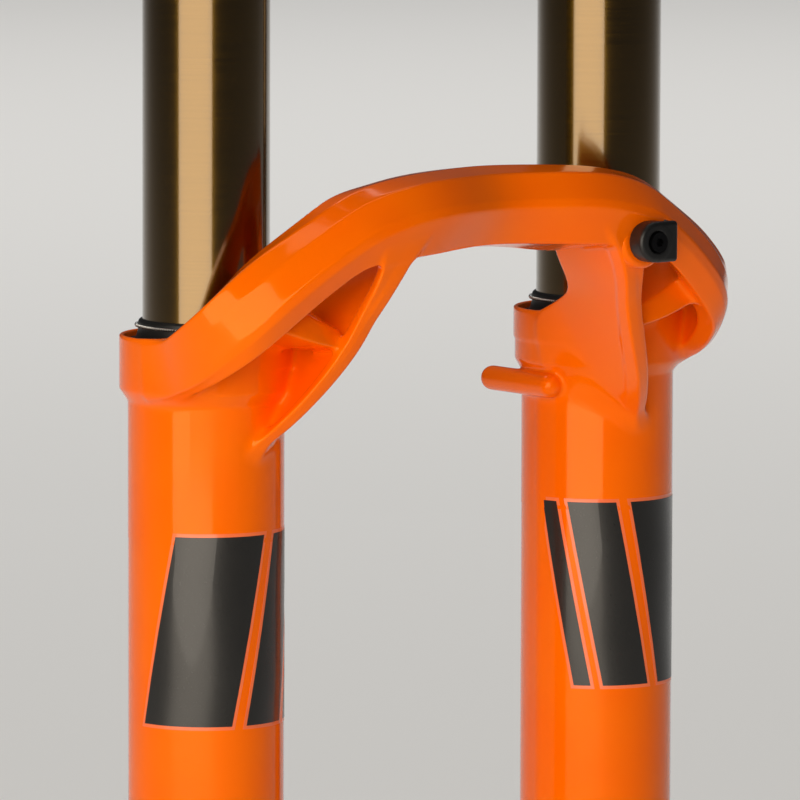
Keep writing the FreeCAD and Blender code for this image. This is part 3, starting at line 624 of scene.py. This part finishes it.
def web_rings():
    """The web's plate and its front flange, as four-point rings."""
    plate, flange = [], []
    for up, inner, outer, rear in WEB:
        inner, outer, rear = (np.array(p, float) for p in (inner, outer, rear))
        back = (rear - inner) / np.linalg.norm(rear - inner)
        side = np.array([-back[1], back[0]])
        side *= np.sign(side[0])
        corners = [inner, inner + side * WEB_PLATE, rear + side * WEB_PLATE * 1.6, rear]
        plate.append([on_leg((*c, up)) for c in corners])
        width = np.linalg.norm(outer - inner)
        corners = [inner, outer, outer + back * WEB_FLANGE, inner + back * WEB_FLANGE]
        if width < WEB_PLATE:
            corners[1] = inner + side * WEB_PLATE
            corners[2] = corners[1] + back * WEB_FLANGE
        flange.append([on_leg((*c, up)) for c in corners])
    return plate, flange


# The strut that crosses the pocket, from the web's flange up to the band.
STRUT = [
    ((-20.5, -44.0, -2.5), (-20.5, -42.5, 3.0), (-21.0, -31.0, 6.0), (-21.0, -31.0, -4.0)),
    ((-12.0, -46.0, -1.0), (-12.0, -44.0, 6.5), (-12.0, -30.0, 13.0), (-12.0, -27.0, -3.5)),
    ((0.0, -45.5, 3.0), (0.0, -43.5, 12.5), (0.0, -31.0, 19.0), (0.0, -25.0, -1.5)),
    ((10.0, -43.5, 6.5), (10.0, -41.5, 21.0), (9.0, -30.5, 22.0), (8.0, -24.0, 0.5)),
]
print("arch rings", len(arch_rings()), "web rows", len(WEB))

# %% [markdown]
# Now the casting's upper part is joined up: the leg with its collar, the arch with its band,
# the web, the strut, and the breather boss with its rib. Then come the cuts: the bores, the
# seal's seat, and the room that the lower crown needs when the fork is fully compressed. Only
# the rider's left half is sampled, because a mirror makes the other.

# %% The upper part of the casting
SPLIT = 296.0                # the casting's mesh is made in two heights, which meet here
BORE_R = 21.6
SEAL_R = 25.8
SEAL_Z = low_corner("wiper_seal_left").z
FOAM_R = 25.0
FOAM_Z = low_corner("foam_ring_left").z
TAPER_Z = (COLLAR_TOP - 21, COLLAR_TOP - 17)
CROWN_ROOM_R = 30.6
FRONT_WALL = 8.0             # the collar rises this much in front, behind the band
BREATHER = Vector((LEG_X - 25.5, 0, COLLAR_TOP - 24.0))
BREATHER_R = 4.0
BREATHER_Y = (6.6, 43.2)
VALVE_R = 2.5
RIB_X = LEG_X - 21.4
RIB_R = 3.0
GUIDE = centre("hose_guide")
GUIDE_SCREW = centre("hose_guide_screw")


def eased(*shares):
    """The product of some shares from 0 to 1, with a soft start and end."""
    total = 1.0
    for share in shares:
        total = total * np.clip(share, 0, 1)
    return total * total * (3 - 2 * total)


def collar_radius(at):
    """The leg's radius at every height: straight, then a short taper up to the collar."""
    rise = np.clip((at[2] - TAPER_Z[0]) / (TAPER_Z[1] - TAPER_Z[0]), 0, 1)
    inboard = np.clip((LEG_X - at[0]) / 14, 0, 1)
    step = 0.45 * inboard * (at[2] < COLLAR_TOP - 10)
    return LEG_R + (COLLAR_R - LEG_R) * rise - step * rise


def upper_casting(step):
    block = Block((-1.2, LEG_Y - 66, SPLIT - 4), (LEG_X + 32, LEG_Y + 34, COLLAR_TOP + 54), step)
    at = block.at
    away = np.hypot(at[0] - LEG_X, at[1] - LEG_Y)
    plate, flange = web_rings()
    web = join(loft(block, plate), loft(block, flange), 2.0)
    body = join(loft(block, arch_rings()), web, 2.5)
    body = join(body, loft(block, [[on_leg(p) for p in row] for row in STRUT]), 3.2)
    front = eased((LEG_Y - 19 - at[1]) / 9, (at[0] - LEG_X + 12) / 8)
    leg = overlap(away - collar_radius(at), at[2] - COLLAR_TOP - FRONT_WALL * front, 0.8)
    body = join(body, leg, 4.2)
    low, high = Vector(BREATHER), Vector(BREATHER)
    low.y, high.y = BREATHER_Y[0] + 4, BREATHER_Y[1] - 3
    breather = bar(at, low, high, BREATHER_R)
    rib = bar(at, (RIB_X, LEG_Y - 1, SPLIT - 20), (RIB_X, LEG_Y - 1, BREATHER.z), RIB_R)
    body = join(body, join(breather, rib, 1.5), 1.5)
    room = away - SEAL_R - (CROWN_ROOM_R - SEAL_R) * eased((at[2] - COLLAR_TOP - 3) / 6)
    body = carve(body, room + 40 * (at[2] < COLLAR_TOP), 1.0)
    body = soften(body, 1)
    body = carve(body, away - BORE_R, 0.5)
    body = carve(body, post(at, LEG_X, LEG_Y, FOAM_Z, COLLAR_TOP + 40, FOAM_R), 0.4)
    body = carve(body, post(at, LEG_X, LEG_Y, SEAL_Z, COLLAR_TOP + 40, SEAL_R), 0.4)
    low.y, high.y = BREATHER_Y[1] - 14, BREATHER_Y[1] + 5
    body = carve(body, bar(at, low, high, VALVE_R), 0.3)
    return block, np.clip(body, -9.0, 9.0)


block, field = upper_casting(0.5)
casting_top = skin("casting_arch_and_collars", block, field, 190000, both_sides=True, above=SPLIT)

# %% [markdown]
# Below the arch each leg is a plain tube with a foot, a dropout that clamps the axle, and on
# the rider's left two posts for the brake. The two legs differ, so each has its own field. The
# samples are coarser here, because the forms are large and plain.

# %% The legs and dropouts
HUB_FACE = 55.0
HUB_R = 20.0
DROPOUT_X = 93.0
DROPOUT_R = 17.0
FLANGE_ROOM_R = 14.5
AXLE_R = 10.03
EAR_FRONT = 31.0
EAR_HALF = 11.0
PINCH_X = (66.0, 84.0)
PINCH_Y = -23.0
POST_X, POST_Y, POST_R = 58.0, 60.0, 9.0
POST_Z = (62.0, 136.0)
FOOT_R = 19.0
FOOT_TAPER = 16.0
FOOT_BORE = (11.0, -12.0)
LEG_FLOOR = 16.0
FOOT_BOLT_R = 4.3
RIB_LOW = 150.0
SCREW_R = 3.05               # all M6 screws


def lower_leg(name, step, with_posts):
    """One leg below the split, modelled on the rider's left and turned over for the right."""
    low = (HUB_FACE - 9, -EAR_FRONT - 3, FOOT_Z - 2)
    high = (LEG_X + 28, POST_Y + 3 if with_posts else LEG_Y + 28, SPLIT + 4)
    block = Block(low, high, step)
    at = block.at
    away = np.hypot(at[0] - LEG_X, at[1] - LEG_Y)
    foot = FOOT_R + (LEG_R - FOOT_R) * np.clip((at[2] - FOOT_Z) / FOOT_TAPER, 0, 1)
    body = overlap(away - foot, FOOT_Z - at[2], 2.0)
    wheel_side = np.hypot(at[1], at[2])
    width = np.abs(at[0] - (HUB_FACE + DROPOUT_X) / 2) - (DROPOUT_X - HUB_FACE) / 2
    body = join(body, overlap(wheel_side - DROPOUT_R, width, 1.2), 5.0)
    fairing = bar(at, (LEG_X, 2.0, 0), (LEG_X, 13.0, 72), 15.0)
    body = join(body, overlap(fairing, np.abs(at[0] - LEG_X) - 15.0, 3.0), 6.0)
    ears = slab(at, (HUB_FACE, -EAR_FRONT, -EAR_HALF), (DROPOUT_X, 2, EAR_HALF), 2.5)
    body = join(body, ears, 4.0)
    if with_posts:
        for z in POST_Z:
            body = join(body, bar(at, (POST_X, LEG_Y, z), (POST_X, POST_Y - 4, z), POST_R), 6.0)
            gusset = slab(at, (POST_X - 5, LEG_Y, z - POST_R), (LEG_X, LEG_Y + 33, z + POST_R), 3)
            body = join(body, gusset, 6.0)
        spine = slab(at, (POST_X - 1, LEG_Y, POST_Z[0]), (POST_X + 7, LEG_Y + 27, POST_Z[1]), 3)
        body = overlap(join(body, spine, 6.0), at[1] - POST_Y, 1.0)
    rib = bar(at, (RIB_X, LEG_Y - 1, RIB_LOW), (RIB_X, LEG_Y - 1, SPLIT + 40), RIB_R)
    body = join(body, rib, 1.5)
    body = soften(body, 1)
    cuts = [
        (overlap(away - BORE_R, LEG_FLOOR - at[2], 0.5), 0.3),
        (overlap(away - FOOT_BORE[0], at[2] - FOOT_BORE[1], 0.5), 0.6),
        (away - FOOT_BOLT_R + 30 * (at[2] > LEG_FLOOR + 2), 0.3),
        (wheel_side - AXLE_R + 0 * at[0], 0.5),
        (overlap(wheel_side - FLANGE_ROOM_R, DROPOUT_X - at[0], 0.3), 0.3),
        (overlap(wheel_side - HUB_R, at[0] - HUB_FACE, 0.3), 0.3),
        (slab(at, (HUB_FACE - 9, -60, -1), (DROPOUT_X + 9, 0, 1), 0.3), 0.4),
    ]
    cuts += [(upright(at, x, PINCH_Y, SCREW_R), 0.4) for x in PINCH_X]
    for cut, edge in cuts:
        body = carve(body, cut, edge)
    if with_posts:
        for z in POST_Z:
            hole = overlap(np.hypot(at[0] - POST_X, at[2] - z) - SCREW_R, POST_Y - 18 - at[1], 0.3)
            body = carve(body, hole, 0.5)
    return skin(name, block, np.clip(body, -9.0, 9.0), 90000, below=SPLIT)


def mirrored(piece):
    """Turn a piece over to the other side of the fork, faces still outwards."""
    mesh = piece.data
    normals = [None] * len(mesh.vertices)
    for loop, corner in zip(mesh.loops, mesh.corner_normals):
        normals[loop.vertex_index] = (-corner.vector.x, corner.vector.y, corner.vector.z)
    for point in mesh.vertices:
        point.co.x = -point.co.x
    mesh.flip_normals()
    mesh.normals_split_custom_set_from_vertices(normals)
    return piece


LEG_STEP = 0.75
left_leg = lower_leg("casting_left_leg", LEG_STEP, True)
right_leg = mirrored(lower_leg("casting_right_leg", LEG_STEP, False))
for piece in (casting_top, left_leg, right_leg):
    settle(piece, "lowers_casting")
    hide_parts("lowers_casting")

# %% [markdown]
# Turned and moulded rings are an outline spun about the leg's axis. The spin closes on itself,
# and 96 steps keep the edge round even close up.

# %% Turned pieces
def turned(name, outline, x, y, steps=96):
    """Spin a closed outline of (radius, height) in millimetres about an upright line."""
    count = len(outline)
    points = []
    for s in range(steps):
        angle = 2 * math.pi * s / steps
        points += [(x + r * math.cos(angle), y + r * math.sin(angle), z) for r, z in outline]
    faces = []
    for s in range(steps):
        t = (s + 1) % steps
        for i in range(count):
            j = (i + 1) % count
            faces.append((s * count + i, t * count + i, t * count + j, s * count + j))
    piece = new_piece(name, points, faces)
    edited(piece, lambda work: bmesh.ops.remove_doubles(work, verts=work.verts, dist=0.001 * MM))
    edited(piece, faces_out)
    piece.data.set_sharp_from_angle(angle=math.radians(32))
    return piece


def stand_in(piece, *nodes):
    """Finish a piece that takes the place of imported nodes."""
    settle(piece, *nodes)
    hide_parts(*nodes)
    return piece


SIDES = {"left": LEG_X, "right": -LEG_X}
TUBE_LOW = low_corner("stanchion_left").z
TUBE_TOP = high_corner("stanchion_left").z
TUBE_BORE = 17.7
for side, x in SIDES.items():
    outline = [
        (TUBE_BORE, TUBE_LOW), (STANCHION_R - 0.8, TUBE_LOW), (STANCHION_R, TUBE_LOW + 1.2),
        (STANCHION_R, TUBE_TOP - 0.6), (STANCHION_R - 0.6, TUBE_TOP), (TUBE_BORE, TUBE_TOP),
    ]
    stand_in(turned("stanchion_tube_" + side, outline, x, LEG_Y, 128), "stanchion_" + side)
    lip = COLLAR_TOP
    outline = [
        (20.3, SEAL_Z), (25.7, SEAL_Z), (25.7, lip - 2.4), (25.3, lip - 2.0), (24.6, lip - 2.2),
        (23.4, lip - 2.4), (22.4, lip - 1.6), (21.6, lip + 0.4), (21.3, lip + 1.6), (21.25, lip + 2.8),
        (21.3, lip + 3.7), (21.1, lip + 4.3), (20.7, lip + 4.7), (20.15, lip + 4.8), (20.15, lip + 4.2),
        (20.4, lip + 3.4),
    ]
    stand_in(turned("wiper_lip_" + side, outline, x, LEG_Y), "wiper_seal_" + side)
    low, high = low_corner("frame_bumper_" + side).z, high_corner("frame_bumper_" + side).z
    outline = [(20.02, low), (23.4, low), (24.2, low + 0.6), (26.4, low + 4.8), (27.0, low + 6.4)]
    for step in range(4):
        groove = low + 8.6 + 3.2 * step
        outline += [(27.0, groove), (26.1, groove + 0.5), (26.1, groove + 1.3), (27.0, groove + 1.8)]
    outline += [(27.0, high - 6.4), (26.4, high - 4.8), (24.2, high - 0.6), (23.4, high), (20.02, high)]
    stand_in(turned("bumper_" + side, outline, x, LEG_Y), "frame_bumper_" + side)
print("stanchion", TUBE_LOW, "to", TUBE_TOP)

# %% [markdown]
# The brake hose is clipped to the casting by a small nylon moulding. One end is round, the
# other is square and holds the hose in an upright channel, and a countersunk seat takes the
# screw. Moulded parts have rounded edges too, so it is one more field.

# %% Hose guide
def hose_clip():
    low, high = low_corner("hose_guide"), high_corner("hose_guide")
    half = (high.z - low.z) / 2
    block = Block(low - Vector((1, 1, 1)), high + Vector((1, 1, 1)), 0.25)
    at = block.at
    round_end = np.hypot(at[0] - low.x - half, at[2] - GUIDE.z) - half
    thick = np.abs(at[1] - GUIDE.y) - (high.y - low.y) / 2
    body = overlap(round_end, thick, 1.6)
    body = join(body, slab(at, (low.x + half, low.y, low.z), high, 1.2), 0.4)
    seat = np.hypot(at[0] - GUIDE_SCREW.x, at[2] - GUIDE.z)
    body = carve(body, overlap(seat - 3.4, at[1] - low.y - 1.6, 0.3), 0.6)
    body = carve(body, seat - 2.1 + 0 * at[1], 0.3)
    hose = np.hypot(at[0] - high.x + 3.3, at[1] - GUIDE.y - 0.7) - 2.5 + 0 * at[2]
    return skin("nylon_hose_clip", block, carve(body, hose, 0.5), 20000)


def clip_boss():
    """The stub of the casting that the clip is screwed on."""
    back = high_corner("hose_guide").y
    start = Vector((GUIDE_SCREW.x, back - 3, GUIDE.z))
    end = Vector((GUIDE_SCREW.x + 1, back + 9, GUIDE.z - 1))
    block = Block(start - Vector((9, 1, 9)), end + Vector((9, 1, 9)), 0.4)
    at = block.at
    stub = join(bar(at, start, end, 6.9), bar(at, start + Vector((0, 9, 0)), end, 9.5), 4.0)
    stub = overlap(stub, np.abs(at[1] - back - 4.5) - 4.4, 1.2)
    return skin("casting_clip_boss", block, stub, 12000)


stand_in(hose_clip(), "hose_guide")
settle(clip_boss(), "lowers_casting")

# %% [markdown]
# Each leg carries a graphic of cast vinyl film: three slanted black bars, each on a slightly
# larger coral one that shows as a thin edge. Film follows the leg, so every bar is a small
# sheet bent round the tube, under 0.2 mm proud of the lacquer and closed at the back.

# %% Film graphics
FILM_TOP = COLLAR_TOP - 61.5
FILM_HEIGHT = 59.5
FILM_LEAN = -12.0
BARS = [(7.0, 37.0), (-14.0, 2.0), (-23.5, -18.0)]   # from and to, round the leg from its front


def film(name, slot, bars, sign, border, lift):
    """Bars of film on one leg. Outboard is positive, so the two legs mirror each other."""
    across, up = 24, 4
    points, faces = [], []
    for start, end in bars:
        for radius in (LEG_R - 0.3, LEG_R + lift):
            for j in range(up + 1):
                height = -border + (FILM_HEIGHT + 2 * border) * j / up
                z = FILM_TOP - FILM_HEIGHT + height
                for i in range(across + 1):
                    round_leg = start - border + (end - start + 2 * border) * i / across
                    angle = (round_leg + FILM_LEAN * height / FILM_HEIGHT) / LEG_R
                    x = LEG_X + radius * math.sin(angle)
                    points.append((sign * x, LEG_Y - radius * math.cos(angle), z))
        row = across + 1
        layer = row * (up + 1)
        base = len(points) - 2 * layer
        for j in range(up):
            for i in range(across):
                a = base + j * row + i
                faces.append((a, a + row, a + row + 1, a + 1))
                b = a + layer
                faces.append((b, b + 1, b + row + 1, b + row))
        rim = list(range(row)) + [row * j + across for j in range(1, up + 1)]
        rim += [row * up + across - i for i in range(1, row)] + [row * (up - j) for j in range(1, up)]
        for i, a in enumerate(rim):
            b = rim[(i + 1) % len(rim)]
            faces.append((base + a, base + b, base + b + layer, base + a + layer))
    piece = new_piece(name, points, faces)
    edited(piece, faces_out)
    piece.data.set_sharp_from_angle(angle=math.radians(40))
    return settle(piece, "lowers_casting", finish_name=slot)


for side, sign in (("left", 1), ("right", -1)):
    film("film_edge_" + side, "film_edge", BARS, sign, 1.1, 0.1)
    film("film_bars_" + side, "film_black", BARS, sign, 0.0, 0.17)
print("film from", FILM_TOP - FILM_HEIGHT, "to", FILM_TOP)

# %% [markdown]
# The crowns are forged and then milled: a clamp round each stanchion, a bridge to the steerer,
# pockets that take weight out, and slots that let the clamps close. Forging leaves large
# fillets, so they are fields too, built from flat outlines and round posts. The screws, the
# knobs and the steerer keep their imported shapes, which are already plain turned ones.

# %% Crowns
def outline_field(at, outline, low, high, edge):
    """An outline of (x, y) points raised from one height to another."""
    x, y = np.broadcast_arrays(at[0][:, :, 0], at[1][:, :, 0])
    far = np.full(x.shape, 1e9, np.float32)
    inside = np.zeros(x.shape, bool)
    for (ax, ay), (bx, by) in zip(outline, outline[1:] + outline[:1]):
        run = (bx - ax, by - ay)
        along = np.clip(((x - ax) * run[0] + (y - ay) * run[1]) / (run[0] ** 2 + run[1] ** 2), 0, 1)
        far = np.minimum(far, np.hypot(x - ax - along * run[0], y - ay - along * run[1]))
        if ay != by:
            crosses = ((ay > y) != (by > y)) & (x < (bx - ax) * (y - ay) / (by - ay) + ax)
            inside ^= crosses
    flat = np.where(inside, -far, far)[:, :, None]
    ends = np.abs(at[2] - (low + high) / 2) - (high - low) / 2
    return overlap(flat, ends, edge)


STEERER_Y = centre("preload_cap").y
CLAMP_R = 28.0
BRIDGE_R = 25.0
EAR = 12.0                   # half the width of the ears that the clamp screws close
HALF_SLOT = 1.25
HEAD_ROOM_R = 5.4
CLAMP_SCREW_Y = LEG_Y + 35.5
STEM_HOLES = (25.0, 6.0, 32.0)   # threaded holes for the stem: across, front row, rear row
PRESS_R = 15.42
STEERER_BORE_R = 14.32


def crown_field(clamp, bridge, front, bore, screws, step=0.7):
    """Half of a crown, on the rider's left."""
    low = (-1.4, -14, min(clamp[0], bridge[0]) - 2)
    block = Block(low, (LEG_X + 30, STEERER_Y + 38, clamp[1] + 4), step)
    at = block.at
    outline = [(0, front), (44, front), (LEG_X, -9), (LEG_X, 43), (40, 66), (17, 76), (0, 76)]
    outline += [(-20, 76), (-20, front)]
    body = outline_field(at, outline, bridge[0], bridge[1], 1.6)
    body = join(body, post(at, 0, STEERER_Y, bridge[0], bridge[1], BRIDGE_R, 1.6), 3.0)
    hold = post(at, LEG_X, LEG_Y, clamp[0], clamp[1], CLAMP_R, 1.8)
    ears = slab(at, (LEG_X - EAR, LEG_Y, clamp[0]), (LEG_X + EAR, LEG_Y + 42, clamp[1]), 2.4)
    body = join(body, join(hold, ears, 4.0), 4.0)
    for z in screws:
        seat = np.hypot(at[1] - CLAMP_SCREW_Y, at[2] - z)
        body = carve(body, overlap(seat - HEAD_ROOM_R, LEG_X + EAR - 0.1 - at[0], 0.3), 0.5)
        body = carve(body, overlap(seat - SCREW_R, LEG_X - EAR + 1 - at[0], 0.3), 0.3)
    pocket = outline_field(
        at, [(20, 8 + front / 2), (40, 2 + front / 2), (50, 22), (46, 44), (32, 56), (30, 40)],
        bridge[0] - 20, bridge[1] - 4.5, 1.2)
    body = carve(body, pocket - 1.0, 1.0)
    body = soften(body, 1)
    body = carve(body, upright(at, LEG_X, LEG_Y, STANCHION_R + 0.02), 0.5)
    slot = overlap(np.abs(at[0] - LEG_X) - HALF_SLOT, LEG_Y - at[1], 0.2) + 0 * at[2]
    body = carve(body, slot, 0.4)
    return block, at, carve(body, upright(at, 0, STEERER_Y, bore), 0.5)


low, high = low_corner("lower_crown").z, high_corner("lower_crown").z
block, at, field = crown_field((low, high - 2), (high - 15, high - 2), 6.0, PRESS_R, (low + 7, low + 20))
seat = post(at, 0, STEERER_Y, high - 15, high, 22.0, 0.6)
field = carve(join(field, seat, 2.0), upright(at, 0, STEERER_Y, PRESS_R), 0.4)
stand_in(skin("forged_lower_crown", block, field, 80000, both_sides=True), "lower_crown")

low, high = low_corner("upper_crown").z, high_corner("upper_crown").z
block, at, field = crown_field((low, high), (high - 22, high), -6.0, STEERER_BORE_R, (low + 16,))
ears = slab(at, (-14, STEERER_Y, high - 22), (14, STEERER_Y + 36, high), 2.4)
field = join(field, ears, 3.0)
field = carve(field, upright(at, 0, STEERER_Y, STEERER_BORE_R), 0.5)
field = carve(field, overlap(np.abs(at[0]) - HALF_SLOT, STEERER_Y - at[1], 0.2) + 0 * at[2], 0.4)
screw = np.hypot(at[1] - STEERER_Y - 29, at[2] - (low + 21)) - SCREW_R
field = carve(field, screw + 0 * at[0], 0.4)
for y in STEM_HOLES[1:]:
    field = carve(field, upright(at, STEM_HOLES[0], y, 3.0), 0.5)
stand_in(skin("forged_upper_crown", block, field, 80000, both_sides=True), "upper_crown")

# %% [markdown]
# A garter spring is a long, thin coil spring bent into a ring. It hugs the wiper's lip and
# presses it on the stanchion. It follows a circle, which is work for Geometry Nodes: a curve
# circle gives the way, and its points are moved round that way to make the coil. The wire is
# 0.34 mm and the coil 1.2 mm across, as on the real seal, with fewer turns than it has so that
# each one shows.

# %% Garter springs
CIRCLE = "GeometryNodeCurvePrimitiveCircle"
POINTS_PER_TURN = 7.0


def garter_tree():
    """A coil spring bent round an upright axis, with its sizes as inputs."""
    tree = bpy.data.node_groups.new("garter_spring", "GeometryNodeTree")
    face = tree.interface
    face.new_socket("Geometry", in_out="INPUT", socket_type="NodeSocketGeometry")
    for name in ("Ring Radius", "Coil Radius", "Wire Radius", "Height", "Across", "Back"):
        face.new_socket(name, in_out="INPUT", socket_type="NodeSocketFloat")
    face.new_socket("Turns", in_out="INPUT", socket_type="NodeSocketInt")
    face.new_socket("Finish", in_out="INPUT", socket_type="NodeSocketMaterial")
    face.new_socket("Geometry", in_out="OUTPUT", socket_type="NodeSocketGeometry")
    given = add(tree, "NodeGroupInput").outputs
    known = {socket.name: socket for socket in given}
    known["Index"] = add(tree, "GeometryNodeInputIndex").outputs[0]
    # Each line names a value, and says how it comes from two others.
    for name, kind, first, second in [
        ("Count", "MULTIPLY", "Turns", POINTS_PER_TURN),
        ("Share", "DIVIDE", "Index", "Count"),
        ("Round Ring", "MULTIPLY", "Share", 2 * math.pi),
        ("Round Coil", "MULTIPLY", "Round Ring", "Turns"),
        ("Outward", "COSINE", "Round Coil", 0.0),
        ("Upward", "SINE", "Round Coil", 0.0),
        ("Swing", "MULTIPLY", "Coil Radius", "Outward"),
        ("Lift", "MULTIPLY", "Coil Radius", "Upward"),
        ("Reach", "ADD", "Ring Radius", "Swing"),
        ("Sideways", "COSINE", "Round Ring", 0.0),
        ("Rearward", "SINE", "Round Ring", 0.0),
        ("Side Step", "MULTIPLY", "Reach", "Sideways"),
        ("Rear Step", "MULTIPLY", "Reach", "Rearward"),
        ("X", "ADD", "Across", "Side Step"),
        ("Y", "ADD", "Back", "Rear Step"),
        ("Z", "ADD", "Height", "Lift"),
    ]:
        pair = {0: known.get(first, first), 1: known.get(second, second)}
        known[name] = add(tree, "ShaderNodeMath", pair, operation=kind).outputs[0]
    way = add(tree, CIRCLE, {"Resolution": known["Count"], "Radius": 1.0}, mode="RADIUS")
    place = add(tree, "ShaderNodeCombineXYZ", {axis: known[axis] for axis in "XYZ"})
    coil = add(tree, "GeometryNodeSetPosition", {"Geometry": way.outputs[0], "Position": place.outputs[0]})
    wire = add(tree, CIRCLE, {"Resolution": 5, "Radius": given["Wire Radius"]}, mode="RADIUS")
    tube = add(tree, "GeometryNodeCurveToMesh", {
        "Curve": coil.outputs[0], "Profile Curve": wire.outputs[0],
    })
    real = add(tree, "GeometryNodeRealizeInstances", {"Geometry": tube.outputs[0]})
    painted = add(tree, "GeometryNodeSetMaterial", {
        "Geometry": real.outputs[0], "Material": given["Finish"],
    })
    add(tree, "NodeGroupOutput", {"Geometry": painted.outputs[0]})
    return tree


def grow(name, tree, values):
    """Run a Geometry Nodes tree with the given inputs, and keep the result as a plain mesh."""
    piece = bpy.data.objects.new(name, bpy.data.meshes.new(name))
    bpy.context.scene.collection.objects.link(piece)
    modifier = piece.modifiers.new(name, "NODES")
    modifier.node_group = tree
    sockets = {item.name: item.identifier for item in tree.interface.items_tree if item.in_out == "INPUT"}
    for socket, value in values.items():
        modifier[sockets[socket]] = value
    baked(piece)
    piece.data.shade_smooth()
    return piece


SPRING = garter_tree()
for side, x in SIDES.items():
    spring = grow("garter_coil_" + side, SPRING, {
        "Ring Radius": 21.85 * MM, "Coil Radius": 0.42 * MM, "Wire Radius": 0.17 * MM,
        "Height": (COLLAR_TOP + 2.8) * MM, "Across": x * MM, "Back": LEG_Y * MM,
        "Turns": 150, "Finish": FINISHES["spring_steel"],
    })
    stand_in(spring, "garter_spring_" + side)
    print("spring", side, len(spring.data.polygons), "faces")

# %% [markdown]
# The studio is a pale floor that runs far back, so that it is also the background, a large soft
# box to the left of the camera, a weaker one overhead and one over the background. The camera looks
# slightly down on the front of the fork, from the rider's right.

# %% Studio and camera
def soft_box(name, place, aim, size, power, tint="#FFFFFF"):
    """A rectangular area light that looks at a point."""
    light = bpy.data.lights.new(name, "AREA")
    light.shape = "RECTANGLE"
    light.size, light.size_y = size
    light.energy = power
    light.color = srgb(tint)[:3]
    lamp = bpy.data.objects.new(name, light)
    lamp.location = place
    lamp.rotation_euler = (Vector(aim) - Vector(place)).to_track_quat("-Z", "Y").to_euler()
    bpy.context.scene.collection.objects.link(lamp)
    return lamp


AIM = Vector((0, LEG_Y * MM, 0.334))
CAMERA_TURN = math.radians(36.96)
CAMERA_RISE = math.radians(6.24)
CAMERA_FAR = 2.719
toward = Vector((
    -math.sin(CAMERA_TURN) * math.cos(CAMERA_RISE),
    -math.cos(CAMERA_TURN) * math.cos(CAMERA_RISE),
    math.sin(CAMERA_RISE),
))
across = Vector((math.cos(CAMERA_TURN), -math.sin(CAMERA_TURN), 0))
lens = bpy.data.cameras.new("camera")
lens.sensor_width = 36
lens.lens = 383.8
camera = bpy.data.objects.new("camera", lens)
camera.location = AIM + across * -0.0016 + toward * CAMERA_FAR
camera.rotation_euler = (-toward).to_track_quat("-Z", "Y").to_euler()
camera.rotation_euler.rotate_axis("Z", math.radians(0.164))
lens.clip_end = 60
bpy.context.scene.collection.objects.link(camera)
bpy.context.scene.camera = camera


def floor_finish():
    made, tree, shader, place = finish("pale_floor", "#E9E7E3", Roughness=0.9)
    speck = add(tree, "ShaderNodeTexNoise", {"Vector": place, "Scale": 1 / (4 * MM), "Detail": 2.0})
    spread = add(tree, "ShaderNodeMapRange", {
        "Value": speck.outputs["Fac"], "From Min": 0.3, "From Max": 0.7, "To Min": 0.86, "To Max": 0.94,
    })
    tree.links.new(spread.outputs[0], shader.inputs["Roughness"])
    return made


HALF_FLOOR = 30000.0
floor = new_piece("floor", [
    (-HALF_FLOOR, -HALF_FLOOR, FOOT_Z - 0.2), (HALF_FLOOR, -HALF_FLOOR, FOOT_Z - 0.2),
    (HALF_FLOOR, HALF_FLOOR, FOOT_Z - 0.2), (-HALF_FLOOR, HALF_FLOOR, FOOT_Z - 0.2),
], [(0, 1, 2, 3)])
floor.data.materials.append(floor_finish())


def around(turn, far, height):
    """A place round the fork, by its angle from the camera's direction."""
    angle = CAMERA_TURN + math.radians(turn)
    return (-math.sin(angle) * far, -math.cos(angle) * far, height)


soft_box("key", around(20, 2.0, 0.75), (0, 0, 0.33), (2.4, 1.7), 46, "#FFF3E2")
soft_box("top", (0.2, 0.6, 2.6), (0, 0, 0.3), (1.8, 1.8), 14)
backdrop = soft_box("backdrop", (3.4, 4.6, 4.5), (3.4, 4.6, 0), (7, 7), 300)
backdrop.visible_glossy = False
world = bpy.data.worlds.new("studio")
bpy.context.scene.world = world
world.use_nodes = True
world.node_tree.nodes["Background"].inputs["Color"].default_value = srgb("#E6E8EC")
world.node_tree.nodes["Background"].inputs["Strength"].default_value = 0.07
bpy.context.scene.view_settings.view_transform = "Standard"
